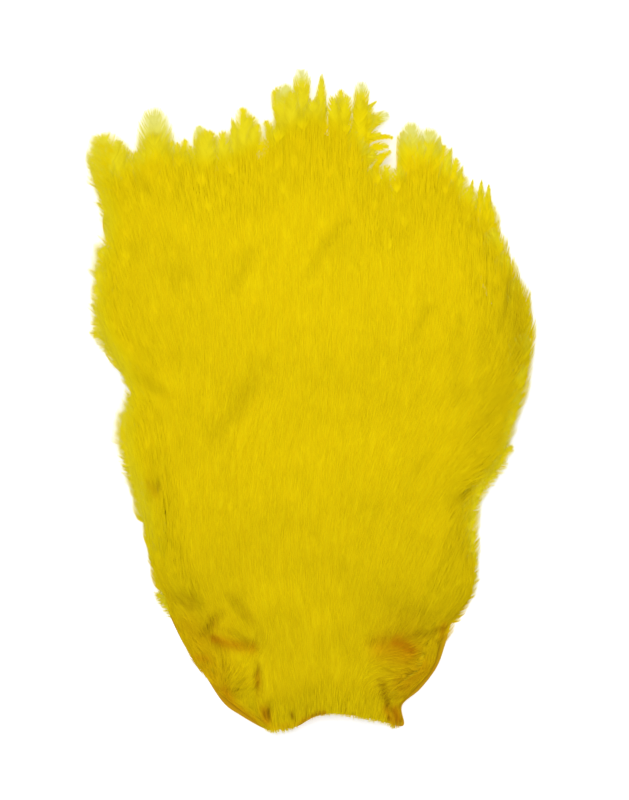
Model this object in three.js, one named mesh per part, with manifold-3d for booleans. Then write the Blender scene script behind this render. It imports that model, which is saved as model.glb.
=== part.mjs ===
// A dyed hen cape: the dried neck skin of a hen, lying flat on its flesh side with the feathers up.
// Millimetres, +Z up. The head end is at -Y, and the feathers point to the tail end at +Y.
// The origin is under the middle of the whole cape, on the surface that it lies on.
import * as THREE from "three";
import { mergeVertices } from "three/addons/utils/BufferGeometryUtils.js";
import Module from "manifold-3d";

// Driving sizes of the skin
const SKIN_THICKNESS = 0.9;
const SKIN_CURL = 1; // how far the dried edge has lifted
const SKIN_CURL_WAVES = 9; // lifted and flat stretches round the edge
const SKIN_RINGS = [1, 0.9]; // rings of points from the edge in to the flat middle
const SKIN_POINTS = 72;
const SPINE_X = 3; // the line down the middle of the skin
const SPINE_LOW = -70;
const SPINE_HIGH = 24;

// Driving sizes of the feathers
const SIDE_FULLNESS = 2.6; // how square the cape is across
const SIDE_ROUNDING = 0.62;
const FLOOR_GAP = 0.5; // the mass of feathers ends this far above the surface
const LOWEST_KEEL = 0.7; // and the underside of a single feather this far
const SKIN_GAP = 0.3; // between the feathers and the skin
const SKIN_REACH = 5; // the space for the skin is open this far below it
const BODY_SINK = 1.2; // the mass ends this far under the tops of the single feathers
const BODY_RINGS = [1, 0.9, 0.64, 0.3];
const BODY_POINTS = 54;
const TIP_LIFT = 1.7; // a tip stands this far above the feathers that it covers
const ROOT_SINK = 3; // and a root is this far below those that cover it
const BEND_SHARE = 0.5; // a feather turns from the flow to its own direction at half its length
const VANE_ARCH = 0.2; // rise of a vane over its half width
const VANE_SECTION = [-1, 0, 1]; // the vane's edges and its shaft, as shares of the half width
const VANE_THICKNESS = 1.1; // under the shaft
const EDGE_THICKNESS = 0.5; // least height of a vane's edge above FLOOR_GAP
const FLOW_REACH = 17; // how far a direction in FLOW carries
const SHORTEST_EDGE = 0.12; // finer edges where locks cross are taken out

// The middle of the finished outline, which the origin is moved to
const MIDDLE = [0.9, 0.3];

// The edge of the skin, from the left end of the neck cut up the left side and round
const SKIN_EDGE = [
  [-13.5, -97.4], [-20.9, -93.3], [-26.2, -89.3], [-32.1, -80.3], [-36.9, -73.6], [-41, -65.5],
  [-43.7, -58.2], [-46.7, -47.7], [-49, -35.2], [-50.5, -20.4], [-51, -5], [-53, 12],
  [-54, 30], [-49, 42], [-36, 47], [-18, 49], [2, 50], [22, 48],
  [38, 42], [51, 29], [55, 12], [53, -5], [49.5, -20.4], [48, -35.2],
  [48.8, -47.1], [47.6, -58], [42.4, -64.6], [39.2, -72.3], [36.4, -79.1], [31.8, -85.6],
  [27.2, -90.4], [27.6, -96.4], [21.5, -95.3], [14.7, -93.8], [5.8, -92.9], [0.4, -94.2],
  [-3.7, -96.6], [-9, -97.6],
];

// The edge of the thick mass of feathers, which the single feathers stand out from
const BODY_EDGE = [
  [-11, -94.5], [-19, -90.5], [-26, -83], [-32, -73], [-38, -62.5], [-42.5, -52],
  [-46, -40], [-48.5, -28], [-50.5, -14], [-51, 0], [-56, 16], [-58, 30],
  [-57, 44], [-58, 58], [-57, 70], [-46, 73], [-34, 75], [-22, 77],
  [-10, 82], [0, 86], [10, 84], [17.5, 77], [21, 68], [26, 66],
  [29, 74], [38, 76], [45, 66], [50, 56], [55, 44], [59, 32],
  [61.5, 20], [60, 7], [55, -6], [49, -20], [46, -32], [46, -46],
  [43.5, -55], [37, -64], [32.5, -74], [27, -84], [22, -91.5], [14, -92.5],
  [4, -91.5], [-4, -94.5],
];

// The outline's left and right sides at each Y
const LEFT_SIDE = [
  [-97, -14], [-85, -29], [-75, -36.5], [-65, -41], [-48, -47], [-35, -49.5], [-13, -55.5],
  [8, -56], [22, -63], [35, -64.5], [52, -61], [66, -64], [80, -62],
];
const RIGHT_SIDE = [
  [-97, 28], [-85, 32], [-75, 39], [-65, 43], [-57, 48.5], [-35, 48.5], [-25, 51.5],
  [-13, 58.5], [0, 62.5], [22, 65.5], [35, 63.5], [50, 56.5], [65, 50], [80, 40],
];
// The height of the feathers where they thin out at the outline, and along the middle
const EDGE_HEIGHT = [[-97, 3.2], [20, 3.4], [60, 2.4], [98, 1.6]];
const MIDDLE_HEIGHT = [
  [-97, 2.4], [-88, 4.6], [-75, 7], [-55, 10], [-30, 12.6], [0, 14], [22, 13.4],
  [42, 10.6], [56, 7.8], [70, 5], [84, 3.2], [98, 2],
];

// The hackle of the neck lies on the other feathers as a raised tongue
const HACKLE_HEIGHT = 2.2;
const HACKLE_LEFT = [[-97, -14], [-60, -17], [-15, -19.5], [4, -15], [24, -11.5], [43, -8]];
const HACKLE_RIGHT = [[-97, 22.5], [-60, 23], [-15, 31], [21, 33], [30, 28], [45, 19]];
const HACKLE_TOP = 46;
const HACKLE_TOP_ARCH = 0.03; // its end falls back by this times the square of X - HACKLE_TOP_X
const HACKLE_TOP_X = 6;
const HACKLE_STEP = 3.5; // over how wide a band its edge falls

// Which way the feathers point: [x, y, degrees from +Y towards +X]
const FLOW = [
  [4, -92, 0], [4, -60, 0], [4, -20, 2], [5, 20, 2], [3, 60, 0], [3, 92, 2],
  [-18, -80, -22], [-36, -66, -35], [-38, -45, -14], [-42, -15, -18], [-48, 10, -30],
  [-50, 35, -16], [-52, 60, -18], [-57, 75, -20], [-30, 20, -12], [-30, 50, -6], [-38, 80, -4],
  [24, -80, 24], [38, -66, 35], [40, -45, 20], [42, -18, 30], [52, -12, 42], [50, 10, 18],
  [58, 30, -8], [50, 50, -4], [45, 68, 14], [33, 60, 4], [30, 30, 4], [35, 80, 4],
];

// The shape of a vane along its shaft: [share of the length, share of the width]
const VANES = {
  round: [[0, 0.45], [0.35, 0.85], [0.7, 1], [0.88, 0.8], [0.96, 0.52], [1, 0.2]],
  pointed: [[0, 0.45], [0.45, 1], [0.8, 0.6], [1, 0.12]],
  tile: [[0, 0.6], [0.5, 1], [0.8, 0.84], [0.94, 0.48], [1, 0.12]],
  spike: [[0, 0.7], [0.4, 1], [0.75, 0.6], [1, 0.15]],
};

// The feathers that make the outline: [tip x, tip y, degrees, length, width, vane]
const EDGE_FEATHERS = [
  // the left corner and the tail end, from left to right
  [-64.2, 75.4, -38, 26, 7, "round"], [-62.4, 68.6, -34, 24, 7, "round"],
  [-59.3, 77.8, -22, 31, 13, "round"],
  [-53, 74, -8, 26, 7, "pointed"], [-46.9, 86.5, -5, 33, 12, "round"],
  [-38, 75.6, 0, 26, 6, "pointed"], [-31.5, 81.5, 0, 30, 11, "round"],
  [-26.6, 79.2, 4, 27, 7, "pointed"], [-19.2, 87.2, 2, 32, 9.5, "round"],
  [-14.6, 80.8, 12, 26, 6, "pointed"], [-8.2, 92.4, -6, 34, 10, "round"],
  [-2.8, 98.1, 1, 36, 5.6, "round"], [2.8, 96.9, 3, 36, 2.6, "spike"],
  [7.6, 90.6, -2, 32, 6, "pointed"], [12, 91.4, 5, 32, 6.5, "round"],
  [15.4, 94.3, 9, 36, 5.2, "pointed"],
  // the barbs of the torn feather at the gap
  [21.4, 86.4, 50, 18, 3, "spike"], [23.2, 78.6, 72, 22, 4, "spike"],
  [21.8, 70.4, 64, 18, 3.6, "spike"],
  // the right corner
  [27, 79.4, -4, 26, 4.4, "pointed"], [31, 83, -2, 31, 8.6, "round"],
  [36.8, 81.4, 5, 30, 8.6, "round"], [44.2, 74.2, 18, 26, 5.5, "pointed"],
  [47.6, 69, 20, 24, 4.6, "pointed"], [52.3, 65.4, 6, 26, 4.8, "pointed"],
  // the right side, down to the head end
  [52, 56, -4, 24, 7, "round"], [54.2, 50, -14, 24, 7, "round"],
  [57.5, 41, -16, 24, 8, "round"], [60.5, 32, -14, 24, 8, "round"],
  [61.6, 22, -4, 24, 8, "round"], [61.4, 11, 4, 22, 8, "round"],
  [59.4, 1.5, 22, 22, 8, "round"], [57.2, -8, 28, 20, 8, "round"],
  [59.8, -13.4, 52, 15, 4, "pointed"], [56.2, -19.4, 50, 16, 5, "pointed"],
  [52.2, -24.4, 56, 15, 5, "pointed"], [48, -29, 20, 16, 6, "round"],
  // the left side, down to the head end
  [-60.2, 62, -20, 24, 7, "round"], [-60.2, 50.6, -24, 22, 7, "round"],
  [-61.2, 41.6, -25, 22, 7, "round"], [-62.2, 33.4, -30, 22, 8, "round"],
  [-63.4, 25.6, -50, 20, 7, "round"], [-60.6, 17, -74, 18, 6, "pointed"],
  [-54.6, -0.6, -30, 18, 8, "round"], [-55.2, -9, -36, 18, 8, "round"],
  [-54.4, -17.4, -46, 16, 7, "round"], [-53, -24.4, -60, 14, 5, "pointed"],
  [-49.4, -32, -25, 15, 6, "round"], [-46.6, -57.8, -64, 9, 3.6, "pointed"],
];

// The rows of feathers that cover the middle: [tip y, first tip x, last tip x, count, length, width]
const ROWS = [
  [70, -46, 42, 6, 26, 15.5], [55, -50, 46, 6, 27, 17.5], [39, -50, 51, 7, 28, 16],
  [22, -50, 53, 6, 28, 18], [5, -45, 52, 6, 28, 17], [-12, -42, 46, 6, 28, 16.5],
  [-29, -39, 41, 5, 26, 16], [-45, -36, 38, 5, 23, 15], [-60, -30, 33, 5, 20, 13],
  [-72, -23, 25, 4, 15, 12], [-83, -14, 17, 3, 9, 9.5],
];
const ROW_STAGGER = 2.7; // rows are moved this far sideways, left and right in turn
const ROW_ARCH = 0.004; // the ends of a row fall back by this times X squared
// How much the feathers of a row differ: sideways, lengthways, and in degrees
const ROW_SHIFT = 3;
const ROW_SLIDE = 5;
const ROW_TURN = 10;

const wasm = await Module();
wasm.setup();

// The value at t on a smooth curve through [t, value] stops
function through(stops, t) {
  const last = stops.length - 1;
  if (t <= stops[0][0]) return stops[0][1];
  if (t >= stops[last][0]) return stops[last][1];
  const i = stops.findIndex(([at]) => at > t) - 1;
  const slope = (k) => {
    const before = stops[Math.max(k - 1, 0)];
    const after = stops[Math.min(k + 1, last)];
    return (after[1] - before[1]) / (after[0] - before[0]);
  };
  const [t0, v0] = stops[i];
  const [t1, v1] = stops[i + 1];
  const span = t1 - t0;
  const x = (t - t0) / span;
  const start = (1 + 2 * x) * (1 - x) ** 2 * v0 + x * (1 - x) ** 2 * span * slope(i);
  return start + x * x * (3 - 2 * x) * v1 + x * x * (x - 1) * span * slope(i + 1);
}

const step = THREE.MathUtils.smoothstep;

// 0 to 1: how much of the neck hackle's extra height a point has
function hackle(x, y) {
  const top = HACKLE_TOP - HACKLE_TOP_ARCH * (x - HACKLE_TOP_X) ** 2;
  const left = through(HACKLE_LEFT, y);
  const right = through(HACKLE_RIGHT, y);
  const within = step(x, left - HACKLE_STEP, left + HACKLE_STEP)
    * step(-x, -right - 2 * HACKLE_STEP, -right + 2 * HACKLE_STEP);
  return within * step(-y, -top - HACKLE_STEP, -top + HACKLE_STEP);
}

// The height of the cape's upper surface
function heightAt(x, y) {
  const left = through(LEFT_SIDE, y);
  const right = through(RIGHT_SIDE, y);
  const across = Math.min(1, Math.abs((2 * x - left - right) / (right - left)));
  const share = (1 - across ** SIDE_FULLNESS) ** SIDE_ROUNDING;
  const edge = through(EDGE_HEIGHT, y);
  const middle = Math.max(through(MIDDLE_HEIGHT, y), edge);
  return THREE.MathUtils.lerp(edge, middle, share) + HACKLE_HEIGHT * hackle(x, y) * step(share, 0, 0.6);
}

// The way the feathers point at a place, in degrees from +Y towards +X
function flowAt(x, y) {
  let sum = 0;
  let weights = 1e-9;
  for (const [fx, fy, degrees] of FLOW) {
    const weight = Math.exp(-((x - fx) ** 2 + (y - fy) ** 2) / (2 * FLOW_REACH ** 2));
    sum += weight * degrees;
    weights += weight;
  }
  return sum / weights;
}

// A value from -0.5 to 0.5 that is the same for the same seed
function jitter(seed) {
  const wave = Math.sin(seed * 12.9898) * 43758.5453;
  return wave - Math.floor(wave) - 0.5;
}

// Evenly spaced points on a smooth closed curve through the corners, counterclockwise from above
function closedOutline(corners, count) {
  const curve = new THREE.CatmullRomCurve3(corners.map(([x, y]) => new THREE.Vector3(x, y, 0)), true);
  const points = curve.getSpacedPoints(count).slice(0, count).map((p) => new THREE.Vector2(p.x, p.y));
  return THREE.ShapeUtils.isClockWise(points) ? points.reverse() : points;
}

// Moves a point of the outline towards the spine, to that share of its distance
function inset(p, share) {
  const near = new THREE.Vector2(SPINE_X, THREE.MathUtils.clamp(p.y, SPINE_LOW, SPINE_HIGH));
  return near.lerp(p, share);
}

// A geometry of these points and corner numbers
function geometryFrom(position, index) {
  const geometry = new THREE.BufferGeometry();
  geometry.setAttribute("position", new THREE.Float32BufferAttribute(position, 3));
  return geometry.setIndex(index);
}

// A closed sheet inside the outline. Each side is its height at a place, and its rings of points.
function sheet(outline, top, bottom) {
  const count = outline.length;
  const position = [];
  const index = [];
  const starts = [];
  const face = (a, b, c, flip) => index.push(...(flip ? [a, c, b] : [a, b, c]));
  for (const { height, rings, under } of [top, { ...bottom, under: true }]) {
    const start = position.length / 3;
    const corner = (ring, i) => start + ring * count + (i % count);
    starts.push(start);
    for (const share of rings) {
      for (const [i, p] of outline.entries()) {
        const q = inset(p, share);
        position.push(q.x, q.y, height(q.x, q.y, share, i / count));
      }
    }
    const last = rings.length - 1;
    for (let ring = 0; ring < last; ring++) {
      for (let i = 0; i < count; i++) {
        face(corner(ring, i), corner(ring, i + 1), corner(ring + 1, i + 1), under);
        face(corner(ring, i), corner(ring + 1, i + 1), corner(ring + 1, i), under);
      }
    }
    const middle = outline.map((p) => inset(p, rings[last]));
    for (const [a, b, c] of THREE.ShapeUtils.triangulateShape(middle, [])) {
      face(corner(last, a), corner(last, b), corner(last, c), under);
    }
  }
  for (let i = 0; i < count; i++) {
    const next = (i + 1) % count;
    face(starts[1] + i, starts[1] + next, starts[0] + next, false);
    face(starts[1] + i, starts[0] + next, starts[0] + i, false);
  }
  return geometryFrom(position, index);
}

// How far the skin has curled up, which is only at the outermost ring, by the way round the outline
function curl(ring, around) {
  const wave = 0.6 + 0.4 * Math.sin(2 * Math.PI * SKIN_CURL_WAVES * around);
  return ring === SKIN_RINGS[0] ? SKIN_CURL * wave : 0;
}

// The dried skin: a thin sheet with a flat middle and a lifted, wavy edge.
// With extra, it is that much larger all round, and with depth, that much deeper.
function skinGeometry(extra = 0, depth = 0) {
  const outline = offsetOutline(closedOutline(SKIN_EDGE, SKIN_POINTS), extra);
  const top = (x, y, ring, around) => SKIN_THICKNESS + extra + curl(ring, around);
  const bottom = (x, y, ring, around) => curl(ring, around) - depth;
  return sheet(outline, { height: top, rings: SKIN_RINGS }, { height: bottom, rings: SKIN_RINGS });
}

// An outline moved outwards by a distance
function offsetOutline(points, distance) {
  return points.map((p, i) => {
    const before = points.at(i - 1);
    const after = points[(i + 1) % points.length];
    const along = after.clone().sub(before).normalize();
    return new THREE.Vector2(p.x + along.y * distance, p.y - along.x * distance);
  });
}

// One feather that shows as a separate lock: a ridged blade from its root in the mass to its tip
function featherGeometry([tipX, tipY, degrees, length, width, vane]) {
  const heading = (angle) => {
    const radians = THREE.MathUtils.degToRad(angle);
    return new THREE.Vector3(Math.sin(radians), Math.cos(radians), 0);
  };
  const tip = new THREE.Vector3(tipX, tipY, 0);
  const bend = tip.clone().addScaledVector(heading(degrees), -BEND_SHARE * length);
  const rootAngle = (degrees + flowAt(bend.x, bend.y)) / 2;
  const root = bend.clone().addScaledVector(heading(rootAngle), (BEND_SHARE - 1) * length);
  const shaft = new THREE.QuadraticBezierCurve3(root, bend, tip);
  const position = [];
  const index = [];
  const stations = VANES[vane];
  for (const [s, share] of stations) {
    const p = shaft.getPoint(s);
    const side = shaft.getTangent(s).cross(new THREE.Vector3(0, 0, 1));
    const half = (share * width) / 2;
    const rise = TIP_LIFT * s - ROOT_SINK * (1 - s) ** 2;
    for (const across of VANE_SECTION) {
      const q = p.clone().addScaledVector(side, across * half);
      const crown = VANE_ARCH * half * (1 - across * across);
      const z = Math.max(heightAt(q.x, q.y) + rise, FLOOR_GAP + EDGE_THICKNESS) + crown;
      position.push(q.x, q.y, z);
    }
    const keel = Math.max(heightAt(p.x, p.y) + rise - VANE_THICKNESS, LOWEST_KEEL);
    position.push(p.x, p.y, keel);
  }
  const around = VANE_SECTION.length + 1;
  for (let i = 0; i < stations.length - 1; i++) {
    for (let k = 0; k < around; k++) {
      const [a, b] = [i * around + k, i * around + ((k + 1) % around)];
      index.push(a, b, b + around, a, b + around, a + around);
    }
  }
  const end = (stations.length - 1) * around;
  for (let k = 1; k < around - 1; k++) {
    index.push(0, k + 1, k, end, end + k, end + k + 1);
  }
  return geometryFrom(position, index);
}

// The feathers of the rows, in the same form as EDGE_FEATHERS
function rowFeathers() {
  return ROWS.flatMap(([tipY, firstX, lastX, count, length, width], row) =>
    Array.from({ length: count }, (_, i) => {
      const seed = row * 17 + i;
      const stagger = row % 2 ? ROW_STAGGER : -ROW_STAGGER;
      const x = THREE.MathUtils.lerp(firstX, lastX, i / (count - 1)) + stagger + ROW_SHIFT * jitter(seed);
      const y = tipY - ROW_ARCH * x * x + ROW_SLIDE * jitter(seed + 0.5);
      return [x, y, flowAt(x, y) + ROW_TURN * jitter(seed + 0.25), length, width, "tile"];
    }),
  );
}

// A geometry as a manifold-3d solid
function solidOf(geometry) {
  const merged = mergeVertices(geometry, 1e-4);
  return new wasm.Manifold(new wasm.Mesh({
    numProp: 3,
    vertProperties: new Float32Array(merged.attributes.position.array),
    triVerts: new Uint32Array(merged.index.array),
  }));
}

// A manifold-3d solid as a geometry
function geometryOf(solid) {
  const mesh = solid.getMesh();
  const geometry = new THREE.BufferGeometry();
  geometry.setAttribute("position", new THREE.BufferAttribute(mesh.vertProperties, 3));
  return geometry.setIndex(new THREE.BufferAttribute(mesh.triVerts, 1));
}

// The solid without the pockets of air that are shut in between its locks
function outerShell(solid) {
  return solid.decompose().reduce((a, b) => (b.volume() > a.volume() ? b : a));
}

// All the feathers in one solid: the thick mass and every lock that grows out of it
function plumageGeometry() {
  const top = (x, y) => heightAt(x, y) - BODY_SINK;
  const mass = sheet(
    closedOutline(BODY_EDGE, BODY_POINTS),
    { height: top, rings: BODY_RINGS },
    { height: () => FLOOR_GAP, rings: [1] },
  );
  let solid = solidOf(mass);
  for (const feather of [...EDGE_FEATHERS, ...rowFeathers()]) {
    solid = solid.add(solidOf(featherGeometry(feather)));
  }
  const lifted = solid.subtract(solidOf(skinGeometry(SKIN_GAP, SKIN_REACH)));
  return geometryOf(outerShell(lifted.simplify(SHORTEST_EDGE)));
}

function part(name, geometry, colour, roughness) {
  const material = new THREE.MeshStandardMaterial({ color: colour, roughness, metalness: 0 });
  const mesh = new THREE.Mesh(geometry, material);
  mesh.name = name;
  mesh.position.set(-MIDDLE[0], -MIDDLE[1], 0);
  return mesh;
}

const cape = new THREE.Group();
cape.add(part("skin", skinGeometry(), 0xc98a12, 0.6));
cape.add(part("plumage", plumageGeometry(), 0xe2c400, 0.85));

export default cape;
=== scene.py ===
# A dyed hen cape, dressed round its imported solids: a dried skin, and feathers that have their own barbs.
from collections import namedtuple

import bpy
import numpy as np
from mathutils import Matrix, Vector


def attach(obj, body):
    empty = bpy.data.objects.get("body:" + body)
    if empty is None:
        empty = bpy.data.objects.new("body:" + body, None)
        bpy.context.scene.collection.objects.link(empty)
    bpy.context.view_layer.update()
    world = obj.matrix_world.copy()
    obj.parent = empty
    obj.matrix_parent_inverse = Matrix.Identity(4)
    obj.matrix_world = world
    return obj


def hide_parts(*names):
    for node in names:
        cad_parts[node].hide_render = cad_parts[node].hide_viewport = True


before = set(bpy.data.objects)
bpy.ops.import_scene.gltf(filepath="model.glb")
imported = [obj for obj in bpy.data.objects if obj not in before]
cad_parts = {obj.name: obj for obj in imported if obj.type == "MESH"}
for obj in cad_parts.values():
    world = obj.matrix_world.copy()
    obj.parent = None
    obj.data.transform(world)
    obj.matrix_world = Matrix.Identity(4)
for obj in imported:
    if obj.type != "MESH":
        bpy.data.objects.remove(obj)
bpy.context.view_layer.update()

# Sizes and places are in millimetres, and directions in degrees from +Y towards +X, until a mesh is made.
# The head end is at -Y, and the feathers point to the tail end at +Y.
MM = 0.001
MIDDLE = np.array([0.9, 0.3])  # the places below are from a middle that is here in the frame
FAR = 200  # past any place of the cape
TINY = 1e-9

# The outline's left and right sides: (y, x)
LEFT_SIDE = [
    (-97, -14), (-85, -29), (-75, -36.5), (-65, -41), (-48, -47), (-35, -49.5), (-13, -55.5),
    (8, -56), (22, -63), (35, -64.5), (52, -61), (66, -64), (80, -62),
]
RIGHT_SIDE = [
    (-97, 27.6), (-93, 27.2), (-90.6, 26.6), (-88.4, 28.4), (-84, 32.4), (-79.6, 36.4), (-71, 39), (-66, 41),
    (-61.6, 45), (-57, 48.2), (-48, 49.2), (-35, 48.5), (-25, 51.5),
    (-13, 58.5), (0, 62.5), (22, 65.5), (35, 63.5), (50, 56.5), (65, 50), (80, 40),
]
# The lines that the tips of the middle stay between, at each X
TAIL_LINE = [(-66, 68), (-56, 72), (-46, 78), (-30, 75), (-12, 82), (0, 88), (12, 84), (18, 72), (24, 66),
             (30, 74), (38, 72), (46, 62), (54, 50), (66, 40)]
HEAD_LINE = [(-66, -50), (-46, -53), (-38, -68), (-30, -80), (-22, -89), (-15, -93.6), (-7, -94), (0, -91),
             (6, -89.6), (14, -91), (24, -92.6), (29, -84), (37, -72), (46, -56), (66, -50)]
# The outline's bottom: (x, y)
HEAD_EDGE = [
    (-66, -20), (-50, -60), (-41, -68), (-33, -80), (-26.2, -89.7), (-20.9, -93), (-15.8, -96.9),
    (-6.7, -97.7), (-2.2, -94.5), (4, -92.4), (11.7, -93.6), (19.7, -95), (27.4, -96.9), (29, -89),
    (36, -79), (42, -67), (48, -58), (62, -20),
]
# The height of the feathers where they thin out at the outline, and along the middle: (y, height)
EDGE_HEIGHT = [(-97, 1.5), (-64, 1.7), (-48, 2.7), (20, 3.4), (60, 2.4), (98, 1.6)]
MIDDLE_HEIGHT = [
    (-97, 2.4), (-88, 4.6), (-75, 7), (-55, 10), (-30, 12.6), (0, 14), (22, 13.4),
    (42, 10.6), (56, 7.8), (70, 5), (84, 3.2), (98, 2),
]
# The section across: how flat its middle is, and how steeply it falls at the sides
SIDE_FULLNESS = 2.6
SIDE_ROUNDING = 0.62

# The hackle of the neck lies on the other feathers as a raised tongue. Its sides: (y, x)
HACKLE_HEIGHT = 2.2
HACKLE_LEFT = [(-97, -14), (-60, -17), (-15, -19.5), (4, -15), (24, -11.5), (43, -8)]
HACKLE_RIGHT = [(-97, 22.5), (-60, 23), (-15, 31), (21, 33), (30, 28), (45, 19)]
HACKLE_TOP = 46
HACKLE_TOP_ARCH = 0.03
HACKLE_TOP_X = 6
HACKLE_STEP = 2.4  # half of the width over which it rises at its left side
HACKLE_END = 9  # and at its top

# The light comes through near the outline: from this far inside it, and most from this far on
THIN_LEFT = (7, 0.5)
THIN_TAIL = (9, 1)
THIN_RIGHT = (4, 1)
THIN_RIGHT_SHARE = 0.2
THINNEST = 0.4

# The matted down in the two corners of the head end: its middles, and how far it reaches
MATTED = [(-23, -80), (28, -80)]
MATTED_REACH = 8
MATTED_TONE = 0.06  # how much its wisps differ
MATTED_TURN = 16
MATTED_SPREAD = 0.08  # how much its single strands differ in tone
MATTED_LOCKS = 0.07  # and its locks of strands

# Which way the feathers point: (x, y, degrees)
FLOW = [
    (4, -92, 0), (4, -60, 0), (4, -20, 2), (5, 20, 2), (3, 60, 0), (3, 92, 2),
    (-18, -80, -22), (-36, -66, -35), (-38, -45, -6), (-42, -15, -14), (-48, 10, -34),
    (-22, -40, 8), (-24, -14, 20), (-27, 2, 26), (-21, -60, -22), (-36, 0, -8),
    (-50, 35, -16), (-52, 60, -18), (-57, 75, -24), (-28, 22, -4), (-30, 50, -6), (-38, 80, -4),
    (24, -80, 24), (38, -66, 35), (22, -55, 14), (40, -45, 22), (24, -30, 20), (42, -18, 32), (27, -13, 24),
    (56, -10, 52), (56, 6, 46), (46, 10, 22), (57, 30, 6), (50, 50, -4), (45, 68, 14),
    (33, 60, 4), (30, 30, 4), (30, 8, 10), (35, 80, 4),
]
FLOW_REACH = 11
FLOW_FLOOR = 1e-7  # each has at least this weight, so that places far from all have a direction too
# Small swirls in that flow: (x, y, degrees, reach)
SWIRLS = [
    (-20, -84, 62, 4), (-22, -78.5, 48, 3), (-27, -73, 20, 4), (-15, -71, 38, 3.5), (-38, -62, -48, 4),
    (24.4, -80, 92, 4), (26.5, -86.5, 68, 3), (29, -76, 120, 3.5), (34, -72, 62, 4), (-44.5, -58.5, -64, 3),
    (51, -22.5, 68, 4.5), (-29, -66, 10, 2.5), (-23, -69, -58, 2.5), (-32, -74, -58, 3), (-30, -81, -20, 3),
]

# Partings and folds, which sink the plumage and are also painted darker as shade: (width, depth, then the X
# and Y of each point of its line)
CREASES = [
    (3.4, 1.1, -13.4, 10, -20, -1.7, -27, -9.2), (2.2, 0.9, -17.8, 43.2, -22.4, 32.3),
    (1.8, 0.9, 10.8, 53, 4.3, 45.3, -0.1, 36.4), (1.6, 0.9, 34.5, 27, 30.1, 18.1),
    (1.8, 1, -50.5, 6.2, -42.2, 2.1), (1.5, 0.8, -44.9, -22.8, -47.5, -28.7),
    (2.2, 0.9, -39.8, -58.9, -32.7, -60.1),
    (1.4, 1.4, -26.2, -62.8, -31.2, -68.4, -26.2, -72.6, -16.1, -72),
    (1.5, 0.7, -21.5, -58.9, -17.9, -64.9), (1.6, 1.2, 18.2, -70.8, 26.5, -69.6, 36.6, -68.7),
    (1.4, 0.9, 39.8, -65.5, 43.7, -60.7), (1.4, 0.9, 44.6, -28.7, 47.8, -25.5),
    (2, 0.6, 28.9, -23.4, 33.6, -16.9), (2.2, 0.6, 42.8, 19.5, 42.8, 0.3),
    (2.2, 0.6, 50.5, 19.5, 50.5, 2.7), (1.2, 0.8, 61.2, 42.4, 59.1, 34.7, 55.5, 21),
    (2, 0.6, -38.4, 66.6, -38.4, 58.4), (2, 0.6, -50.8, 66.1, -47.5, 61.3),
    (1.6, 0.6, -39.5, 38.8, -39.5, 32.9), (1.2, 1.2, -15.8, -78.2, -15.3, -85),
    (1, 1.2, -11.4, -90, -12.6, -93.3), (1.1, 1.2, 21.2, -83.8, 23, -90.3),
]
CREASE_PAINTED_SHADE = 0.06  # painted shade: how much darker a crease of 1 mm is painted
CREASE_AT_EDGE = 0.3  # the share of its depth that a crease has at the outline

# Darker spans of the plumage, or lighter where less than 0: painted shade towards the head end and the sides,
# painted light towards the tail end, and darker corners at the head end: (how much, over these X, over these
# Y). It grows from the first place to the second and stays so past it. None is all along.
SHADE_AND_CORNER_FADES = [
    (-0.03, None, (10, 70)), (0.07, None, (-20, -60)), (0.03, (-10, -50), None), (0.075, (44, 64), None),
    (0.04, None, (-82, -94)), (0.07, (14, 32), (-52, -78)), (0.03, (-14, -32), (-50, -78)),
]
# The corners are a little orange all over, given in the same way
ORANGE_CORNERS = [(0.19, (14, 32), (-56, -76)), (0.19, (-14, -32), (-54, -76))]
# How much the dye differs over long and short ways: (wavelength, how much)
BLOTCHES = [(26, 0.012), (9, 0.006)]

# Where the dye has run and is orange: (width, how much, then its points as before)
STAINS = [
    # the left corner
    (0.8, 1, -29.4, -70.1, -26.8, -70.5), (1.4, 0.65, -26.8, -70.8, -23.2, -71.8, -17.2, -72.8),
    (0.8, 0.5, -15.5, -81.2, -15.5, -84), (1.5, 0.55, -25.4, -85.6, -23.6, -88.6),
    (1.7, 0.65, -26.4, -89, -21.6, -91.6, -16.8, -95), (4, 0.2, -32, -76.4, -27.4, -85.4),
    (1.5, 0.7, -13.6, -91.4, -13, -94.6), (0.9, 0.5, -33.6, -75.9, -30, -76.4),
    (3.4, 0.16, -36, -66, -32, -71),
    # the right corner
    (1.5, 1, 24.8, -71, 27.2, -71.8, 29.8, -73.8), (3.4, 0.45, 20.6, -72.4, 29, -74.6),
    (1, 0.5, 39.4, -66.6, 39.2, -70), (1.4, 0.6, 28.4, -91.4, 33, -86.4, 37.6, -79.8),
    (1.3, 0.8, 25, -91.6, 26.2, -96), (3.2, 0.3, 28, -84, 33, -79), (0.9, 0.6, 22.2, -90.8, 24.4, -95.4),
    # the head end
    (0.5, 0.9, -3.1, -95, 0.4, -93.3, 4.2, -92), (0.9, 0.35, -12, -96.6, -3.4, -95.6),
    # the sides
    (1.2, 0.25, -47.8, -24.4, -45.8, -27.4),
]
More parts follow.
